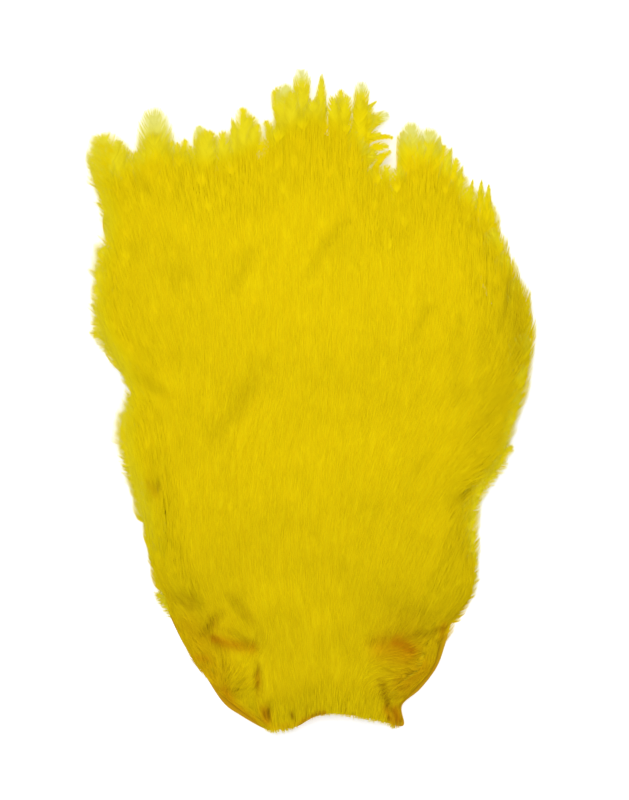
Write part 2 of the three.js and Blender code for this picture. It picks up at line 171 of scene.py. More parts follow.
# Darker strokes and patches, or lighter where less than 0: painted shade along the folds of the corners and
# the sides, and broad darker and lighter patches: (width, how much darker, then its points)
FOLD_SHADE_AND_PATCHES = [
    # the left corner
    (2.2, 0.03, -40.5, -57.6, -33.5, -60.8), (0.5, 0.14, -38.6, -56.6, -34.2, -58.6),
    (0.5, 0.14, -34.8, -56.6, -35.2, -61), (0.4, 0.12, -38.6, -58.8, -36, -61.4),
    (0.5, 0.24, -32.6, -68.8, -29.6, -66, -27.4, -63.4), (0.4, 0.14, -30.4, -63.4, -27.4, -65),
    (0.5, 0.15, -29.6, -69.6, -27.6, -69.9, -25.6, -71.2),
    (0.5, 0.12, -28.4, -66.8, -22, -68.4, -17, -71.6), (0.4, 0.1, -24, -68, -18.4, -71.2),
    (0.5, 0.11, -24.6, -57, -21.8, -61.6, -18, -65.4), (1.5, 0.06, -23, -57, -12, -71.6),
    (0.45, 0.25, -15.5, -77.8, -15, -79.8, -16.6, -80.9), (0.5, 0.1, -15.4, -81.2, -15.4, -87),
    (0.5, 0.16, -27.2, -85, -24.6, -85.8), (0.5, 0.12, -24.4, -83.6, -19.6, -82.8),
    (0.5, 0.12, -24.2, -85.4, -18.8, -84.8), (0.5, 0.1, -22.6, -87.4, -17.8, -87),
    (0.5, 0.1, -25.8, -76, -25.8, -83.6), (0.6, 0.2, -15.8, -93.4, -14.2, -94.6),
    (0.5, 0.34, -12.6, -91.2, -12.2, -94), (0.4, 0.3, -13.8, -91.4, -13.2, -93.4),
    (0.5, 0.14, -14.6, -96.4, -13, -96.8), (3.2, -0.05, -20.6, -76.6, -18.6, -77.2),
    # the right corner
    (0.6, 0.12, 27, -71.2, 30, -73.6), (0.5, 0.16, 31, -68.4, 32.4, -68.8),
    (0.7, 0.2, 36.8, -67.8, 39.4, -67.2), (0.5, 0.18, 37, -71.2, 38.4, -71.4),
    (0.4, 0.12, 28, -68.6, 36.4, -70.2), (0.5, 0.1, 22, -67.6, 30.4, -69.2),
    (0.6, 0.22, 20, -82.4, 21.4, -83.8, 21.8, -86.8, 22.8, -90.8, 24.6, -92),
    (0.45, 0.5, 23, -93.6, 23.4, -94.2), (0.4, 0.26, 25.3, -93.2, 25.5, -95.6),
    (0.4, 0.24, 26.5, -94.8, 26.6, -96.4), (0.5, 0.1, 24.4, -82.8, 31, -82),
    (0.5, 0.1, 24, -85.4, 29.6, -84.6), (0.5, 0.12, 25, -88, 28.4, -87.4),
    # the head end
    (0.45, 0.24, 0.6, -93, 4.2, -91.8), (0.45, 0.4, -5.6, -92.2, -5.2, -93.2),
    # the sides
    (0.4, 0.26, -44.8, -23.8, -44.8, -26.4), (1.6, 0.04, -47.8, -24.4, -45.8, -27.4),
    (3.4, 0.08, 61.6, 36, 61, 14), (3, 0.05, 52, 52, 56, 44), (0.6, 0.1, 43.5, 25.2, 44.2, 22.6),
    (0.5, 0.1, 59.2, 41.4, 57.2, 27, 56.4, 21), (0.5, 0.18, 45.2, -27.8, 47.4, -26),
    # broad darker and lighter patches
    (5, 0.07, 44.5, 62, 48, 53), (2.6, 0.05, 44, 61, 48, 57), (4.5, 0.06, 25, -61, 31, -62.5),
    (6, 0.05, -50, 43, -39, 40), (5, 0.04, 8, 45, 13, 43), (5, 0.045, 45, 3, 50, 0),
    (4.5, 0.06, 43, -30, 44, -42), (6, -0.05, -12, -55, 2, -62), (6, -0.05, -33, 64, -20, 61),
    (4, -0.06, 23.5, 60, 24.5, 52), (4, -0.05, -52, -3, -53.5, -13), (4, -0.04, -57, 24, -55, 16),
]

# Long waves of the plumage: (wavelength, height)
WAVES = [(31, 0.5), (15, 0.32), (8, 0.16)]
WAVES_FROM = 0.6  # they are whole from this share of the middle's height on

RIPPLE_WAVES = 6
RIPPLE_SUM = 3.5  # brings their sum to between about -1 and 1


def through(stops, t):
    """The values at t on a smooth curve through (t, value) stops."""
    at, value = np.array(stops, float).T
    slope = np.gradient(value, at, edge_order=1)
    slope[1:-1] = (value[2:] - value[:-2]) / (at[2:] - at[:-2])
    t = np.clip(t, at[0], at[-1])
    i = np.clip(np.searchsorted(at, t, side="right") - 1, 0, len(at) - 2)
    span = at[i + 1] - at[i]
    x = (t - at[i]) / span
    start = (1 + 2 * x) * (1 - x) ** 2 * value[i] + x * (1 - x) ** 2 * span * slope[i]
    return start + x * x * (3 - 2 * x) * value[i + 1] + x * x * (x - 1) * span * slope[i + 1]


def smooth(low, high, x):
    """0 to 1 as x goes from low to high."""
    t = np.clip((x - low) / (high - low), 0, 1)
    return t * t * (3 - 2 * t)


def ripple(x, y, wavelength, seed):
    """Smooth noise between about -1 and 1, the same for the same seed."""
    draw = np.random.default_rng(seed)
    total = 0
    for _ in range(RIPPLE_WAVES):
        angle, phase = draw.uniform(0, 2 * np.pi, 2)
        k = 2 * np.pi / (wavelength * draw.uniform(0.7, 1.5))
        total = total + np.sin(k * (x * np.cos(angle) + y * np.sin(angle)) + phase)
    return total / RIPPLE_SUM


def spot(x, y, at_x, at_y, reach):
    """1 at a place, and less further from it."""
    return np.exp(-((x - at_x) ** 2 + (y - at_y) ** 2) / (2 * reach ** 2))


def pointing(degrees):
    """Steps of 1 mm in some directions."""
    turn = np.radians(degrees)
    return np.stack([np.sin(turn), np.cos(turn)], -1)


def hackle(x, y):
    """0 to 1: how much of the neck hackle's extra height a point has."""
    top = HACKLE_TOP - HACKLE_TOP_ARCH * (x - HACKLE_TOP_X) ** 2
    left, right = through(HACKLE_LEFT, y), through(HACKLE_RIGHT, y)
    within = smooth(left - HACKLE_STEP, left + HACKLE_STEP, x)
    within = within * (1 - smooth(right - 2 * HACKLE_STEP, right + 2 * HACKLE_STEP, x))
    return within * (1 - smooth(top - HACKLE_END, top + HACKLE_END, y))


def strokes_at(strokes, x, y):
    """The deepest of some strokes at a point."""
    depth = np.zeros_like(x)
    for width, deep, *line in strokes:
        for ax, ay, bx, by in zip(line[::2], line[1::2], line[2::2], line[3::2]):
            dx, dy = bx - ax, by - ay
            along = np.clip(((x - ax) * dx + (y - ay) * dy) / (dx * dx + dy * dy), 0, 1)
            away = np.hypot(x - ax - along * dx, y - ay - along * dy)
            own = deep * np.exp(-((away / width) ** 2))
            depth = np.where(np.abs(own) > np.abs(depth), own, depth)
    return depth


def fades_at(fades, x, y):
    """The sum of some fades at a point: (how much, over these X, over these Y)."""
    total = 0
    for amount, over_x, over_y in fades:
        for span, at in ((over_x, x), (over_y, y)):
            amount = amount * smooth(*span, at) if span else amount
        total = total + amount
    return total


def matted_at(x, y):
    """How matted the down is: only in the two corners of the head end."""
    return sum(spot(x, y, *middle, MATTED_REACH) for middle in MATTED)


def tone_at(x, y):
    """The plumage's tone, 1 in the middle: it differs at random, is darker in the corners of the head end,
    and is less where shade is painted along the folds and towards the head end and the sides.
    """
    dye_and_shade = 1 - fades_at(SHADE_AND_CORNER_FADES, x, y) + MATTED_TONE * matted_at(x, y) * ripple(x, y, 2, 73)
    for i, (wavelength, amount) in enumerate(BLOTCHES):
        dye_and_shade = dye_and_shade + amount * ripple(x, y, wavelength, 71 + i)
    return dye_and_shade - strokes_at(FOLD_SHADE_AND_PATCHES, x, y)


def orange_at(x, y):
    """How orange the dye is, from 0 to 1."""
    return np.clip(fades_at(ORANGE_CORNERS, x, y) + strokes_at(STAINS, x, y), 0, 1)


def thin_at(x, y):
    """How far the light comes through the feathers: a little at both sides and the tail end."""
    left = smooth(*THIN_LEFT, x - through(LEFT_SIDE, y)) * smooth(-60, -30, y)
    tail = smooth(*THIN_TAIL, through(TAIL_LINE, x) - y) * smooth(30, 0, x)
    right = THIN_RIGHT_SHARE * smooth(*THIN_RIGHT, through(RIGHT_SIDE, y) - x) * smooth(-50, -30, y)
    return THINNEST * np.maximum(np.maximum(left, tail), right)


class Terrain:
    """The cape's upper surface and its shade, worked out once on a grid."""

    STEP = 0.5
    LOW = np.array([-80, -112])
    CELLS = (330, 450)

    def __init__(self):
        steps = (low + self.STEP * np.arange(cells) for low, cells in zip(self.LOW, self.CELLS))
        x, y = np.meshgrid(*steps, indexing="ij")
        left, right = through(LEFT_SIDE, y), through(RIGHT_SIDE, y)
        across = np.minimum(1, np.abs((2 * x - left - right) / (right - left)))
        share = (1 - across ** SIDE_FULLNESS) ** SIDE_ROUNDING
        edge = through(EDGE_HEIGHT, y)
        middle = np.maximum(through(MIDDLE_HEIGHT, y), edge)
        full = smooth(0, WAVES_FROM, share)
        crease = strokes_at(CREASES, x, y)
        waves = sum(height * ripple(x, y, length, 5 + i) for i, (length, height) in enumerate(WAVES))
        self.height = edge + (middle - edge) * share + (HACKLE_HEIGHT * hackle(x, y) + waves) * full
        self.height = self.height - crease * (CREASE_AT_EDGE + (1 - CREASE_AT_EDGE) * full)
        # painted shade: the creases are painted darker by their depth
        self.tone = tone_at(x, y) * (1 - CREASE_PAINTED_SHADE * crease)
        self.orange = orange_at(x, y)
        self.thin = thin_at(x, y)

    def at(self, field, flat):
        """The field's values at places (..., x and y), between its grid points."""
        gx = np.clip((flat[..., 0] - self.LOW[0]) / self.STEP, 0, self.CELLS[0] - 1.001)
        gy = np.clip((flat[..., 1] - self.LOW[1]) / self.STEP, 0, self.CELLS[1] - 1.001)
        i, j = gx.astype(int), gy.astype(int)
        a, b = gx - i, gy - j
        low = field[i, j] * (1 - a) + field[i + 1, j] * a
        high = field[i, j + 1] * (1 - a) + field[i + 1, j + 1] * a
        return low * (1 - b) + high * b


terrain = Terrain()


def flow_at(x, y):
    """The way the feathers point at a place."""
    total, weights = 0, TINY
    for fx, fy, degrees in FLOW:
        weight = spot(x, y, fx, fy, FLOW_REACH) + FLOW_FLOOR
        total, weights = total + weight * degrees, weights + weight
    flow = total / weights
    for sx, sy, degrees, reach in SWIRLS:
        own = spot(x, y, sx, sy, reach)
        flow = flow * (1 - own) + degrees * own
    return flow


# Feathers

SHAFT_STEPS = 16
SHAFT_FADE = 0.55 * SHAFT_STEPS  # a shaft has turned into the flow after this many steps from its tip
LIFT = 0.35  # a tip stands this far above the terrain
SINK = 2  # and a root this far below it
CAMBER = 0.03  # a vane's rise over its half width
LOWEST = 0.35  # no barb hangs lower than this
RACHIS_RADIUS = (0.3, 0.05)  # at the root and at the tip
RACHIS_POWER = 1.3  # how it thins out between them
WEB_DROP = 0.12  # how far the web lies under the barbs
# painted shade: the web, which lies under the barbs, is painted this much darker
WEB_PAINTED_SHADE = 0.92
LONG_SECTIONS = np.array([0, 0.28, 0.56, 0.8, 1])
SHORT_SECTIONS = np.array([0, 0.4, 0.75, 1])
WIDE = 4  # an outline feather wider than this has the long sections
COVERED = 10  # what is further from a body feather's tip is hidden by others
SEEN = 22  # and from the tip of a feather of the outline
PALE_SPAN = (1.9, 0.3)  # its end pales from here to here: lengths of its rounded end, back from the tip
RIM_SPAN = (2.4, 1)  # and so does its rim

# The heights of the feathers over the terrain: the mean, and how much they differ
BODY_RISE = (-0.14, 0.05)
EDGE_RISE = (-0.5, 0.15)
TONE_SPREAD = 0.008  # how much the feathers differ in tone

# How the barbs of a side differ. Where there are two numbers, the first is for a clump of them and the second
# for each barb.
CLUMP_SIZES = (3, 9)
BARB_SHIFT = 0.35  # along the rim, in barbs
BARB_SWAY = 0.08
BARB_RISE = (0.1, 0.05)
BARB_ROLL = (0.08, 0.08)
BARB_TONE = 0.012
EDGE_TONE = 0.04  # and this much more for the clumps of the outline
BARB_END = 0.025  # a barb's width at its very end
STRAYS = 0.07  # the share of an outline feather's barbs that stand out of its rim
STRAY_LENGTH = 0.16  # and how much longer they are

# Where a feather's parts are in its cell of the map
CELL_MARGIN = 0.04
RACHIS_ROW = (0, 0.05)
WEB_ROW = (0.08, 0.32)
BARB_ROW = {-1: 0.36, 1: 0.69}
BARB_ROW_WIDTH = 0.3
BARB_COLUMN = 0.42  # half of the share of its column that a strip takes
SIDES = np.array([1, -1])

# Kinds of feathers. end: the length of the rounded end in half widths. blunt: 2 is an ellipse, more is
# blunter. sweep: how far the barbs run forward for each mm outward. spacing and wide: of the barbs. clump
# and fray: how they stick together and differ. web: how much of their length holds together. pale and
# rim: how far the light comes through the end and the rim.
Kind = namedtuple("Kind", "end blunt sweep spacing wide clump fray web pale rim")
BODY = Kind(2.4, 1.7, 1.7, 0.26, 0.16, 0.15, 0.05, 0.05, 0, 0)
LOBE = Kind(1.5, 2, 1.5, 0.165, 0.19, 0.3, 0.1, 0.36, 0.4, 0.75)
PALE = Kind(1.9, 2.1, 1.6, 0.13, 0.17, 0.12, 0.06, 0.4, 0.82, 0.95)
ROUND = Kind(1.1, 2.2, 1.3, 0.15, 0.18, 0.2, 0.06, 0.4, 0.55, 0.85)
BLUNT = Kind(1.6, 3.2, 2.4, 0.11, 0.13, 0.35, 0.12, 0.28, 0.95, 1)
SPIKE = Kind(4.5, 1.35, 3, 0.14, 0.14, 0.2, 0.06, 0.6, 0.5, 0.7)
SPLIT = Kind(1.8, 1.8, 1.7, 0.14, 0.17, 0.6, 0.1, 0.34, 0.45, 0.75)
DOWN = Kind(1.7, 1.8, 1, 0.16, 0.16, 0.3, 0.18, 0.35, 0.4, 0.8)

# The feathers that make the outline: (tip x, tip y, degrees, length, width, kind)
EDGE_FEATHERS = [
    # the left corner and the tail end, from left to right
    (-64.2, 75.8, -20, 44, 8, ROUND), (-61.8, 79.9, -12, 46, 12.6, ROUND),
    (-57, 77.6, 4, 44, 8, ROUND), (-54.2, 75.2, 16, 40, 6, LOBE), (-65, 69.6, -40, 30, 4, SPLIT),
    (-52, 74.6, 0, 40, 7, LOBE), (-46.5, 80.2, -3, 46, 12.4, LOBE), (-46.6, 87.6, -2, 52, 11.8, PALE),
    (-49.6, 75, -8, 40, 9, LOBE), (-41.4, 77.6, 8, 44, 7, LOBE), (-39.4, 76.8, 0, 44, 2.4, SPLIT),
    (-37, 78, 6, 44, 4, DOWN), (-36.8, 73.4, 2, 42, 8, LOBE), (-35.6, 76, -4, 40, 3.4, SPLIT),
    (-33, 82, -6, 48, 5, PALE), (-30.8, 80.9, 2, 48, 8, LOBE), (-29.4, 80.4, 12, 44, 6, LOBE),
    (-25.8, 80.6, 2, 44, 5.4, SPLIT), (-23.5, 84.4, -14, 44, 3.6, SPIKE),
    (-22.6, 81.6, -4, 46, 6, LOBE), (-20.2, 87.4, -6, 50, 6, LOBE), (-17.2, 85, 10, 46, 7, LOBE),
    (-15.4, 82.4, 18, 42, 5, LOBE), (-13.6, 83.6, -24, 42, 4, DOWN), (-12.4, 80.4, -14, 42, 6, SPLIT),
    (-11.2, 92.6, -20, 44, 4.4, DOWN), (-9.9, 93.6, -12, 52, 5.6, SPLIT),
    (-7.6, 94.6, -6, 54, 6.4, PALE), (-7.4, 91.6, -4, 50, 9, LOBE), (-5.6, 92.6, 0, 50, 5, SPLIT),
    (-2.7, 98.8, -1, 56, 5.2, BLUNT), (-2.6, 93.4, 0, 50, 6.2, LOBE), (0.8, 89.6, 3, 46, 6, LOBE),
    (3.4, 97.6, 3, 52, 3.8, SPIKE), (2.8, 91, 4, 46, 5.4, LOBE), (6.3, 90.8, -6, 48, 4, SPLIT),
    (9, 92.9, 1, 50, 5, SPLIT), (8.6, 90.2, 0, 48, 7, LOBE), (11, 91.2, 9, 48, 5, SPLIT),
    (15.3, 95, 3, 52, 4.8, BLUNT), (15, 90, 4, 48, 5.4, LOBE), (17.6, 87.6, 14, 44, 5, LOBE),
    # the torn feather at the gap, whose barbs stand out to the right
    (20, 89.3, 52, 24, 2, SPIKE), (18.4, 85.6, 44, 26, 6, LOBE), (23.6, 85, 76, 26, 4, BLUNT),
    (21, 83.2, 72, 24, 4, SPLIT), (24.8, 77.8, 104, 26, 2.2, DOWN), (21.4, 78.8, 92, 24, 3, SPLIT),
    (23.6, 75.2, 96, 25, 3, SPLIT), (22, 72.8, 80, 24, 3, SPLIT), (19.6, 73.8, 64, 24, 6, LOBE),
    (24, 74, 58, 22, 2.2, DOWN), (14, 80, 24, 36, 9, LOBE), (16.6, 76.4, 40, 30, 8, LOBE),
    # the floor of the gap
    (17.6, 69, 16, 40, 8, LOBE), (20.8, 71.4, 26, 40, 4, SPLIT), (22.8, 70.4, 8, 40, 7, LOBE),
    (26, 69.6, -2, 40, 6, LOBE),
    # the right corner
    (27.2, 80.2, -4, 42, 5, LOBE), (29.6, 83.2, -3, 46, 8.4, PALE), (30.2, 80, 0, 44, 9, LOBE),
    (35.6, 81.4, 5, 46, 8, PALE), (35.4, 78.4, 5, 44, 9, LOBE), (38.6, 79.2, 12, 40, 4, SPIKE),
    (39.6, 76.4, 14, 40, 5, LOBE), (42, 75.8, 16, 38, 3.6, SPIKE), (43.6, 72.4, 18, 38, 4.4, SPLIT),
    (45.4, 70.2, 20, 36, 3.2, SPIKE), (45.4, 67.6, 20, 36, 7, LOBE), (47.8, 64, 14, 34, 6, LOBE),
    (48.2, 66, 12, 34, 1.8, SPIKE), (50.8, 66, 5, 34, 2, SPIKE), (52.9, 64.8, 3, 34, 2, SPIKE),
    (50.8, 62.8, 6, 34, 7, LOBE), (52.6, 60.4, 2, 34, 5, LOBE),
    # the right side, down to the head end
    (52.6, 59, -4, 36, 7, LOBE), (53.8, 51.4, -12, 36, 8, LOBE), (56.6, 44, -15, 36, 8, LOBE),
    (60.2, 36.6, -15, 36, 8, LOBE), (62.1, 28.6, -10, 34, 8, LOBE), (62.6, 20, -2, 32, 8, LOBE),
    (62.6, 11, 6, 30, 8, LOBE), (61, 3.4, 16, 28, 8, LOBE), (59.6, -3, 24, 26, 8, LOBE),
    (58, -9.6, 30, 24, 8, SPLIT), (60.4, -13, 54, 20, 5, DOWN), (58.4, -16.6, 52, 22, 7, DOWN),
    (55.8, -20.6, 54, 20, 6, DOWN), (52.8, -24.4, 50, 18, 6, DOWN), (50.2, -27.6, 34, 20, 7, DOWN),
    (48.8, -32, 20, 20, 7, LOBE), (48.2, -38, 10, 20, 7, LOBE), (48.4, -44, 8, 20, 6, DOWN),
    (48.8, -50, 20, 18, 6, DOWN), (46.2, -54, 36, 14, 5, DOWN),
    # the left side, down to the head end
    (-62.4, 69.4, -32, 34, 8, DOWN), (-61.4, 62.6, -26, 34, 9, LOBE), (-59.4, 56.4, -22, 32, 8, DOWN),
    (-59.2, 52.4, -18, 32, 8, LOBE), (-62, 46, -24, 30, 8, LOBE), (-63.2, 39.4, -26, 30, 8, DOWN),
    (-64, 35, -30, 30, 8, LOBE), (-64.4, 29.6, -40, 28, 9, DOWN), (-64.6, 25, -52, 26, 9, DOWN),
    (-65.8, 20.8, -76, 24, 8, DOWN), (-61.6, 16.8, -66, 24, 8, DOWN), (-57.4, 12.8, -58, 22, 8, DOWN),
    (-54.2, 9.4, -52, 22, 6, DOWN), (-54.6, 6, -84, 12, 2, DOWN), (-53.6, 2.6, -26, 26, 8, DOWN),
    (-55.4, -1.6, -38, 26, 9, DOWN), (-56.4, -6.6, -42, 26, 9, DOWN),
    (-56.6, -11.6, -42, 24, 8, DOWN), (-55.6, -16.6, -44, 22, 8, DOWN),
    (-54, -21.4, -54, 18, 7, DOWN), (-49.8, -27, -30, 18, 7, LOBE), (-48, -33, -20, 18, 7, LOBE),
    (-46.6, -40, -16, 18, 6, LOBE), (-45.2, -47, -14, 16, 6, LOBE), (-46.6, -57, -66, 14, 6, DOWN),
    (-43.8, -54, -30, 12, 5, DOWN), (-45, -58.4, -52, 12, 6, DOWN),
]

# The feathers of the middle: how far apart their tips are, how long and how wide they are: (y, this)
TIP_SPACING = [(-96, 2.2), (-75, 3.1), (-50, 4.1), (-20, 5.1), (20, 5.7), (80, 6.2)]
TIP_LENGTH = [(-96, 7), (-75, 14), (-50, 23), (-20, 34), (20, 44), (80, 54)]
TIP_WIDTH = [(-96, 3), (-75, 4.4), (-50, 6.2), (-20, 8), (20, 9.5), (80, 10.5)]
TIP_FIELD = (-66, 66, -96, 92)  # tips are tried from this X to this X, and from this Y to this Y
TIP_TRIES = 30000
TURN_SPREAD = 9  # how much the directions of neighbours differ
LENGTH_SPREAD = (0.9, 1.1)
WIDTH_SPREAD = (0.88, 1.15)
SIDE_MARGIN = [(-96, 1.6), (-60, 2), (-40, 3.5), (-20, 5), (80, 5)]  # how far inside the sides the tips stay
ROOT_INSET = 1.8  # and the roots inside the outline
ROOT_TRIES = 14
ROOT_SHORTER = 0.9  # a feather whose root is past that gets this much shorter at each try


class Feather:
    """A feather's measures, and its curved shaft from the root to the tip of the barbs."""

    def __init__(self, line, headings, length, width, kind, tone, z, loose):
        self.line, self.headings, self.kind = line, headings, kind
        self.length, self.width, self.tone, self.z, self.loose = length, width, tone, z, loose
        self.end = min(kind.end * width / 2, length * 0.5)
        self.base = max(length - (SEEN if loose else COVERED), 0.12 * length)
        self.shaft = length - 0.5 * self.end

    def place(self, u, v):
        """Where a point of the vane lies, u along the shaft and v across it."""
        g = np.clip(u / self.length * SHAFT_STEPS, 0, SHAFT_STEPS - 1e-6)
        i = g.astype(int)
        f = (g - i)[..., None]
        p = self.line[i] * (1 - f) + self.line[i + 1] * f
        along = pointing(self.headings[i] * (1 - f[..., 0]) + self.headings[i + 1] * f[..., 0])
        across = np.stack([along[..., 1], -along[..., 0]], -1)
        past = (u - self.length * (g / SHAFT_STEPS))[..., None]
        return p + along * past + across * v[..., None]

    def rise(self, u, v):
        """A point's height over the terrain."""
        s = np.clip(u / self.length, 0, 1.1)
        half = self.width * 0.5
        camber = CAMBER * half * (1 - np.clip(v / half, -1.4, 1.4) ** 2)
        return self.z + LIFT * s ** 1.4 - SINK * np.clip(1 - s, 0, 1) ** 2 + camber


def traced(tips, degrees, lengths, steps, fade):
    """Lines from root to tip as (lines, points, 2), and their headings.

    They are followed back from the tips, and turn from their own directions into the flow over `fade` steps.
    """
    points, headings = [tips], [degrees]
    for k in range(steps):
        own = max(1 - k / fade, 0)
        headings.append(own * degrees + (1 - own) * flow_at(*points[-1].T))
        points.append(points[-1] - pointing(headings[-1]) * (lengths / steps)[:, None])
    return np.stack(points[::-1], 1), np.stack(headings[::-1], 1)


def tried(draw, field, count):
    """Random places in a field."""
    return np.stack([draw.uniform(*field[:2], count), draw.uniform(*field[2:], count)], 1)


def between_sides(x, y, margin):
    """Whether the places are inside both sides by a margin."""
    return (x > through(LEFT_SIDE, y) + margin) & (x < through(RIGHT_SIDE, y) - margin)


def body_tips():
    """Tips spread over the middle, no closer than TIP_SPACING."""
    tries = tried(np.random.default_rng(3), TIP_FIELD, TIP_TRIES)
    x, y = tries.T
    inside = between_sides(x, y, through(SIDE_MARGIN, y))
    inside &= (y < through(TAIL_LINE, x)) & (y > through(HEAD_LINE, x))
    tries = tries[inside]
    kept = np.empty((0, 2))
    for p, reach in zip(tries, through(TIP_SPACING, tries[:, 1])):
        if not len(kept) or np.min(np.hypot(*(kept - p).T)) > reach:
            kept = np.vstack([kept, p])
    return kept


def all_feathers():
    """The feathers of the middle, and then those of the outline."""
    draw = np.random.default_rng(21)
    tips = body_tips()
    body, y = len(tips), tips[:, 1]
    degrees = flow_at(*tips.T) + draw.normal(0, TURN_SPREAD, body)
    lengths = through(TIP_LENGTH, y) * draw.uniform(*LENGTH_SPREAD, body)
    widths = through(TIP_WIDTH, y) * draw.uniform(*WIDTH_SPREAD, body)
    heights = draw.normal(*BODY_RISE, body)
    edge_x, edge_y, edge_degrees, edge_lengths, edge_widths, edge_kinds = zip(*EDGE_FEATHERS)
    tips = np.vstack([tips, np.stack([edge_x, edge_y], 1)])
    degrees, lengths = np.append(degrees, edge_degrees), np.append(lengths, edge_lengths)
    widths = np.append(widths, edge_widths)
    heights = np.append(heights, draw.normal(*EDGE_RISE, len(EDGE_FEATHERS)))
    kinds = [BODY] * body + list(edge_kinds)
    loose = np.arange(len(tips)) >= body
    tones = draw.normal(1, TONE_SPREAD, len(tips))
    for _ in range(ROOT_TRIES):
        lines, headings = traced(tips, degrees, lengths, SHAFT_STEPS, SHAFT_FADE)
        x, y = lines[:, 0].T
        out = ~between_sides(x, y, ROOT_INSET) | (y < through(HEAD_EDGE, x) + ROOT_INSET)
        lengths = lengths * np.where(out & ~loose, ROOT_SHORTER, 1)
    widths = np.minimum(widths, lengths * 0.5)
    return [Feather(*row) for row in zip(lines, headings, lengths, widths, kinds, tones, heights, loose)]


# Meshes

def strips(centre, half, roll):
    """Both sides of strips: centre is (strips, sections, 3), half their half widths, roll how they lean."""
    along = np.gradient(centre[..., :2], axis=1)
    along /= np.linalg.norm(along, axis=-1, keepdims=True) + TINY
    roll = roll + 0 * half
    flat = np.cos(roll)
    offset = np.stack([-along[..., 1] * flat, along[..., 0] * flat, np.sin(roll)], -1)
    points = centre[:, :, None] + SIDES[:, None] * (offset * half[..., None])[:, :, None]
    points[..., 2] = np.maximum(points[..., 2], LOWEST)
    return points


def added(name, data):
    """A new object in the scene."""
    made = bpy.data.objects.new(name, data)
    bpy.context.scene.collection.objects.link(made)
    return made


class Sheaf:
    """Gathers strips and grids of one piece, each feather in its own cell of the piece's map."""

    def __init__(self, name, cells=1):
        self.name = name
        self.columns = int(np.ceil(np.sqrt(cells)))
        self.verts, self.faces, self.maps, self.tones, self.tips, self.oranges = [], [], [], [], [], []
        self.count = 0

    def cell(self, index, u, v):
        """The map place of a vane's point, u and v from 0 to 1 across the feather's cell."""
        column, row = index % self.columns, index // self.columns
        u, v = (CELL_MARGIN + (1 - 2 * CELL_MARGIN) * np.clip(k, 0, 1) for k in (u, v))
        return np.stack([(column + v) / self.columns, (row + u) / self.columns], -1)

    def grid(self, points, maps, tone, tip):
        """Adds grids of quads: points has the shape (grids, rows, columns, 3)."""
        n, rows, columns = points.shape[:3]
        at = self.count + np.arange(n * rows * columns).reshape(n, rows, columns)
        quads = np.stack([at[:, :-1, :-1], at[:, :-1, 1:], at[:, 1:, 1:], at[:, 1:, :-1]], -1)
        self.faces.append(quads.reshape(-1, 4))
        self.verts.append(points.reshape(-1, 3))
        self.maps.append(maps.reshape(-1, 2))
        self.tones.append(np.broadcast_to(tone, points.shape[:3]).ravel())
        self.tips.append(np.broadcast_to(tip, points.shape[:3]).ravel())
        self.oranges.append(terrain.at(terrain.orange, points).ravel())
        self.count += n * rows * columns

    def piece(self, material, slot, *nodes):
        """Makes the object, riding on the root body."""
        verts = np.concatenate(self.verts)
        verts[:, :2] -= MIDDLE
        faces = np.concatenate(self.faces)
        mesh = bpy.data.meshes.new(self.name)
        mesh.vertices.add(len(verts))
        mesh.vertices.foreach_set("co", (verts * MM).astype(np.float32).ravel())
        mesh.loops.add(faces.size)
        mesh.loops.foreach_set("vertex_index", faces.astype(np.int32).ravel())
        mesh.polygons.add(len(faces))
        mesh.polygons.foreach_set("loop_start", np.arange(0, faces.size, 4, dtype=np.int32))
        layer = mesh.uv_layers.new(name="OFBake")
        layer.data.foreach_set("uv", np.concatenate(self.maps)[faces.ravel()].astype(np.float32).ravel())
        for name, values in (("tone", self.tones), ("tip", self.tips), ("orange", self.oranges)):
            field = mesh.attributes.new(name, "FLOAT", "POINT")
            field.data.foreach_set("value", np.concatenate(values).astype(np.float32))
        mesh.update(calc_edges=True)
        mesh.polygons.foreach_set("use_smooth", np.ones(len(faces), dtype=bool))
        mesh.materials.append(material)
        made = added(self.name, mesh)
        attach(made, "root")
        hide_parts(*nodes)


def clump_ids(draw, count):
    """Numbers that put neighbouring barbs together in clumps."""
    sizes = draw.integers(CLUMP_SIZES[0], CLUMP_SIZES[1] + 1, count)
    return np.repeat(np.arange(count), sizes)[:count]


def differing(draw, clump, for_clump, for_barb):
    """How each barb differs: by its clump's own share and by its own."""
    n = len(clump)
    return for_clump * draw.normal(0, 1, n)[clump] + for_barb * draw.normal(0, 1, n)


def vane_outline(f, at):
    """Places on one side of the vane's outline, at some shares of the way from its base to its very tip."""
    turn = np.linspace(0, np.pi / 2, 60)
    power = 2 / f.kind.blunt
    half = f.width / 2
    u = np.append(min(f.base, f.length - f.end - 0.5), f.length - f.end + f.end * np.sin(turn) ** power)
    v = np.append(half * 0.9, half * np.cos(turn) ** power)
    arc = np.append(0, np.cumsum(np.hypot(np.diff(u), np.diff(v))))
    return np.interp(at * arc[-1], arc, u), np.interp(at * arc[-1], arc, v)


def barb_paths(f, at, sections):
    """The u and v of barbs that end at the shares `at` of the outline."""
    end_u, end_v = (k[:, None] for k in vane_outline(f, at))
    root = np.clip(end_u - f.kind.sweep * end_v, 0.3, f.shaft)
    bend_u, bend_v = root + 0.32 * (end_u - root), 0.6 * end_v
    stay, turn, go = (1 - sections) ** 2, 2 * sections * (1 - sections), sections ** 2
    return stay * root + turn * bend_u + go * end_u, turn * bend_v + go * end_v


def see_through(f, u, rim):
    """How pale a place u along the vane is, where rim is the share of the barb's length."""
    pale, free = (smooth(*(f.length - f.end * back for back in span), u) for span in (PALE_SPAN, RIM_SPAN))
    return np.maximum(f.kind.pale * pale, f.kind.rim * free * rim ** 3) * f.loose


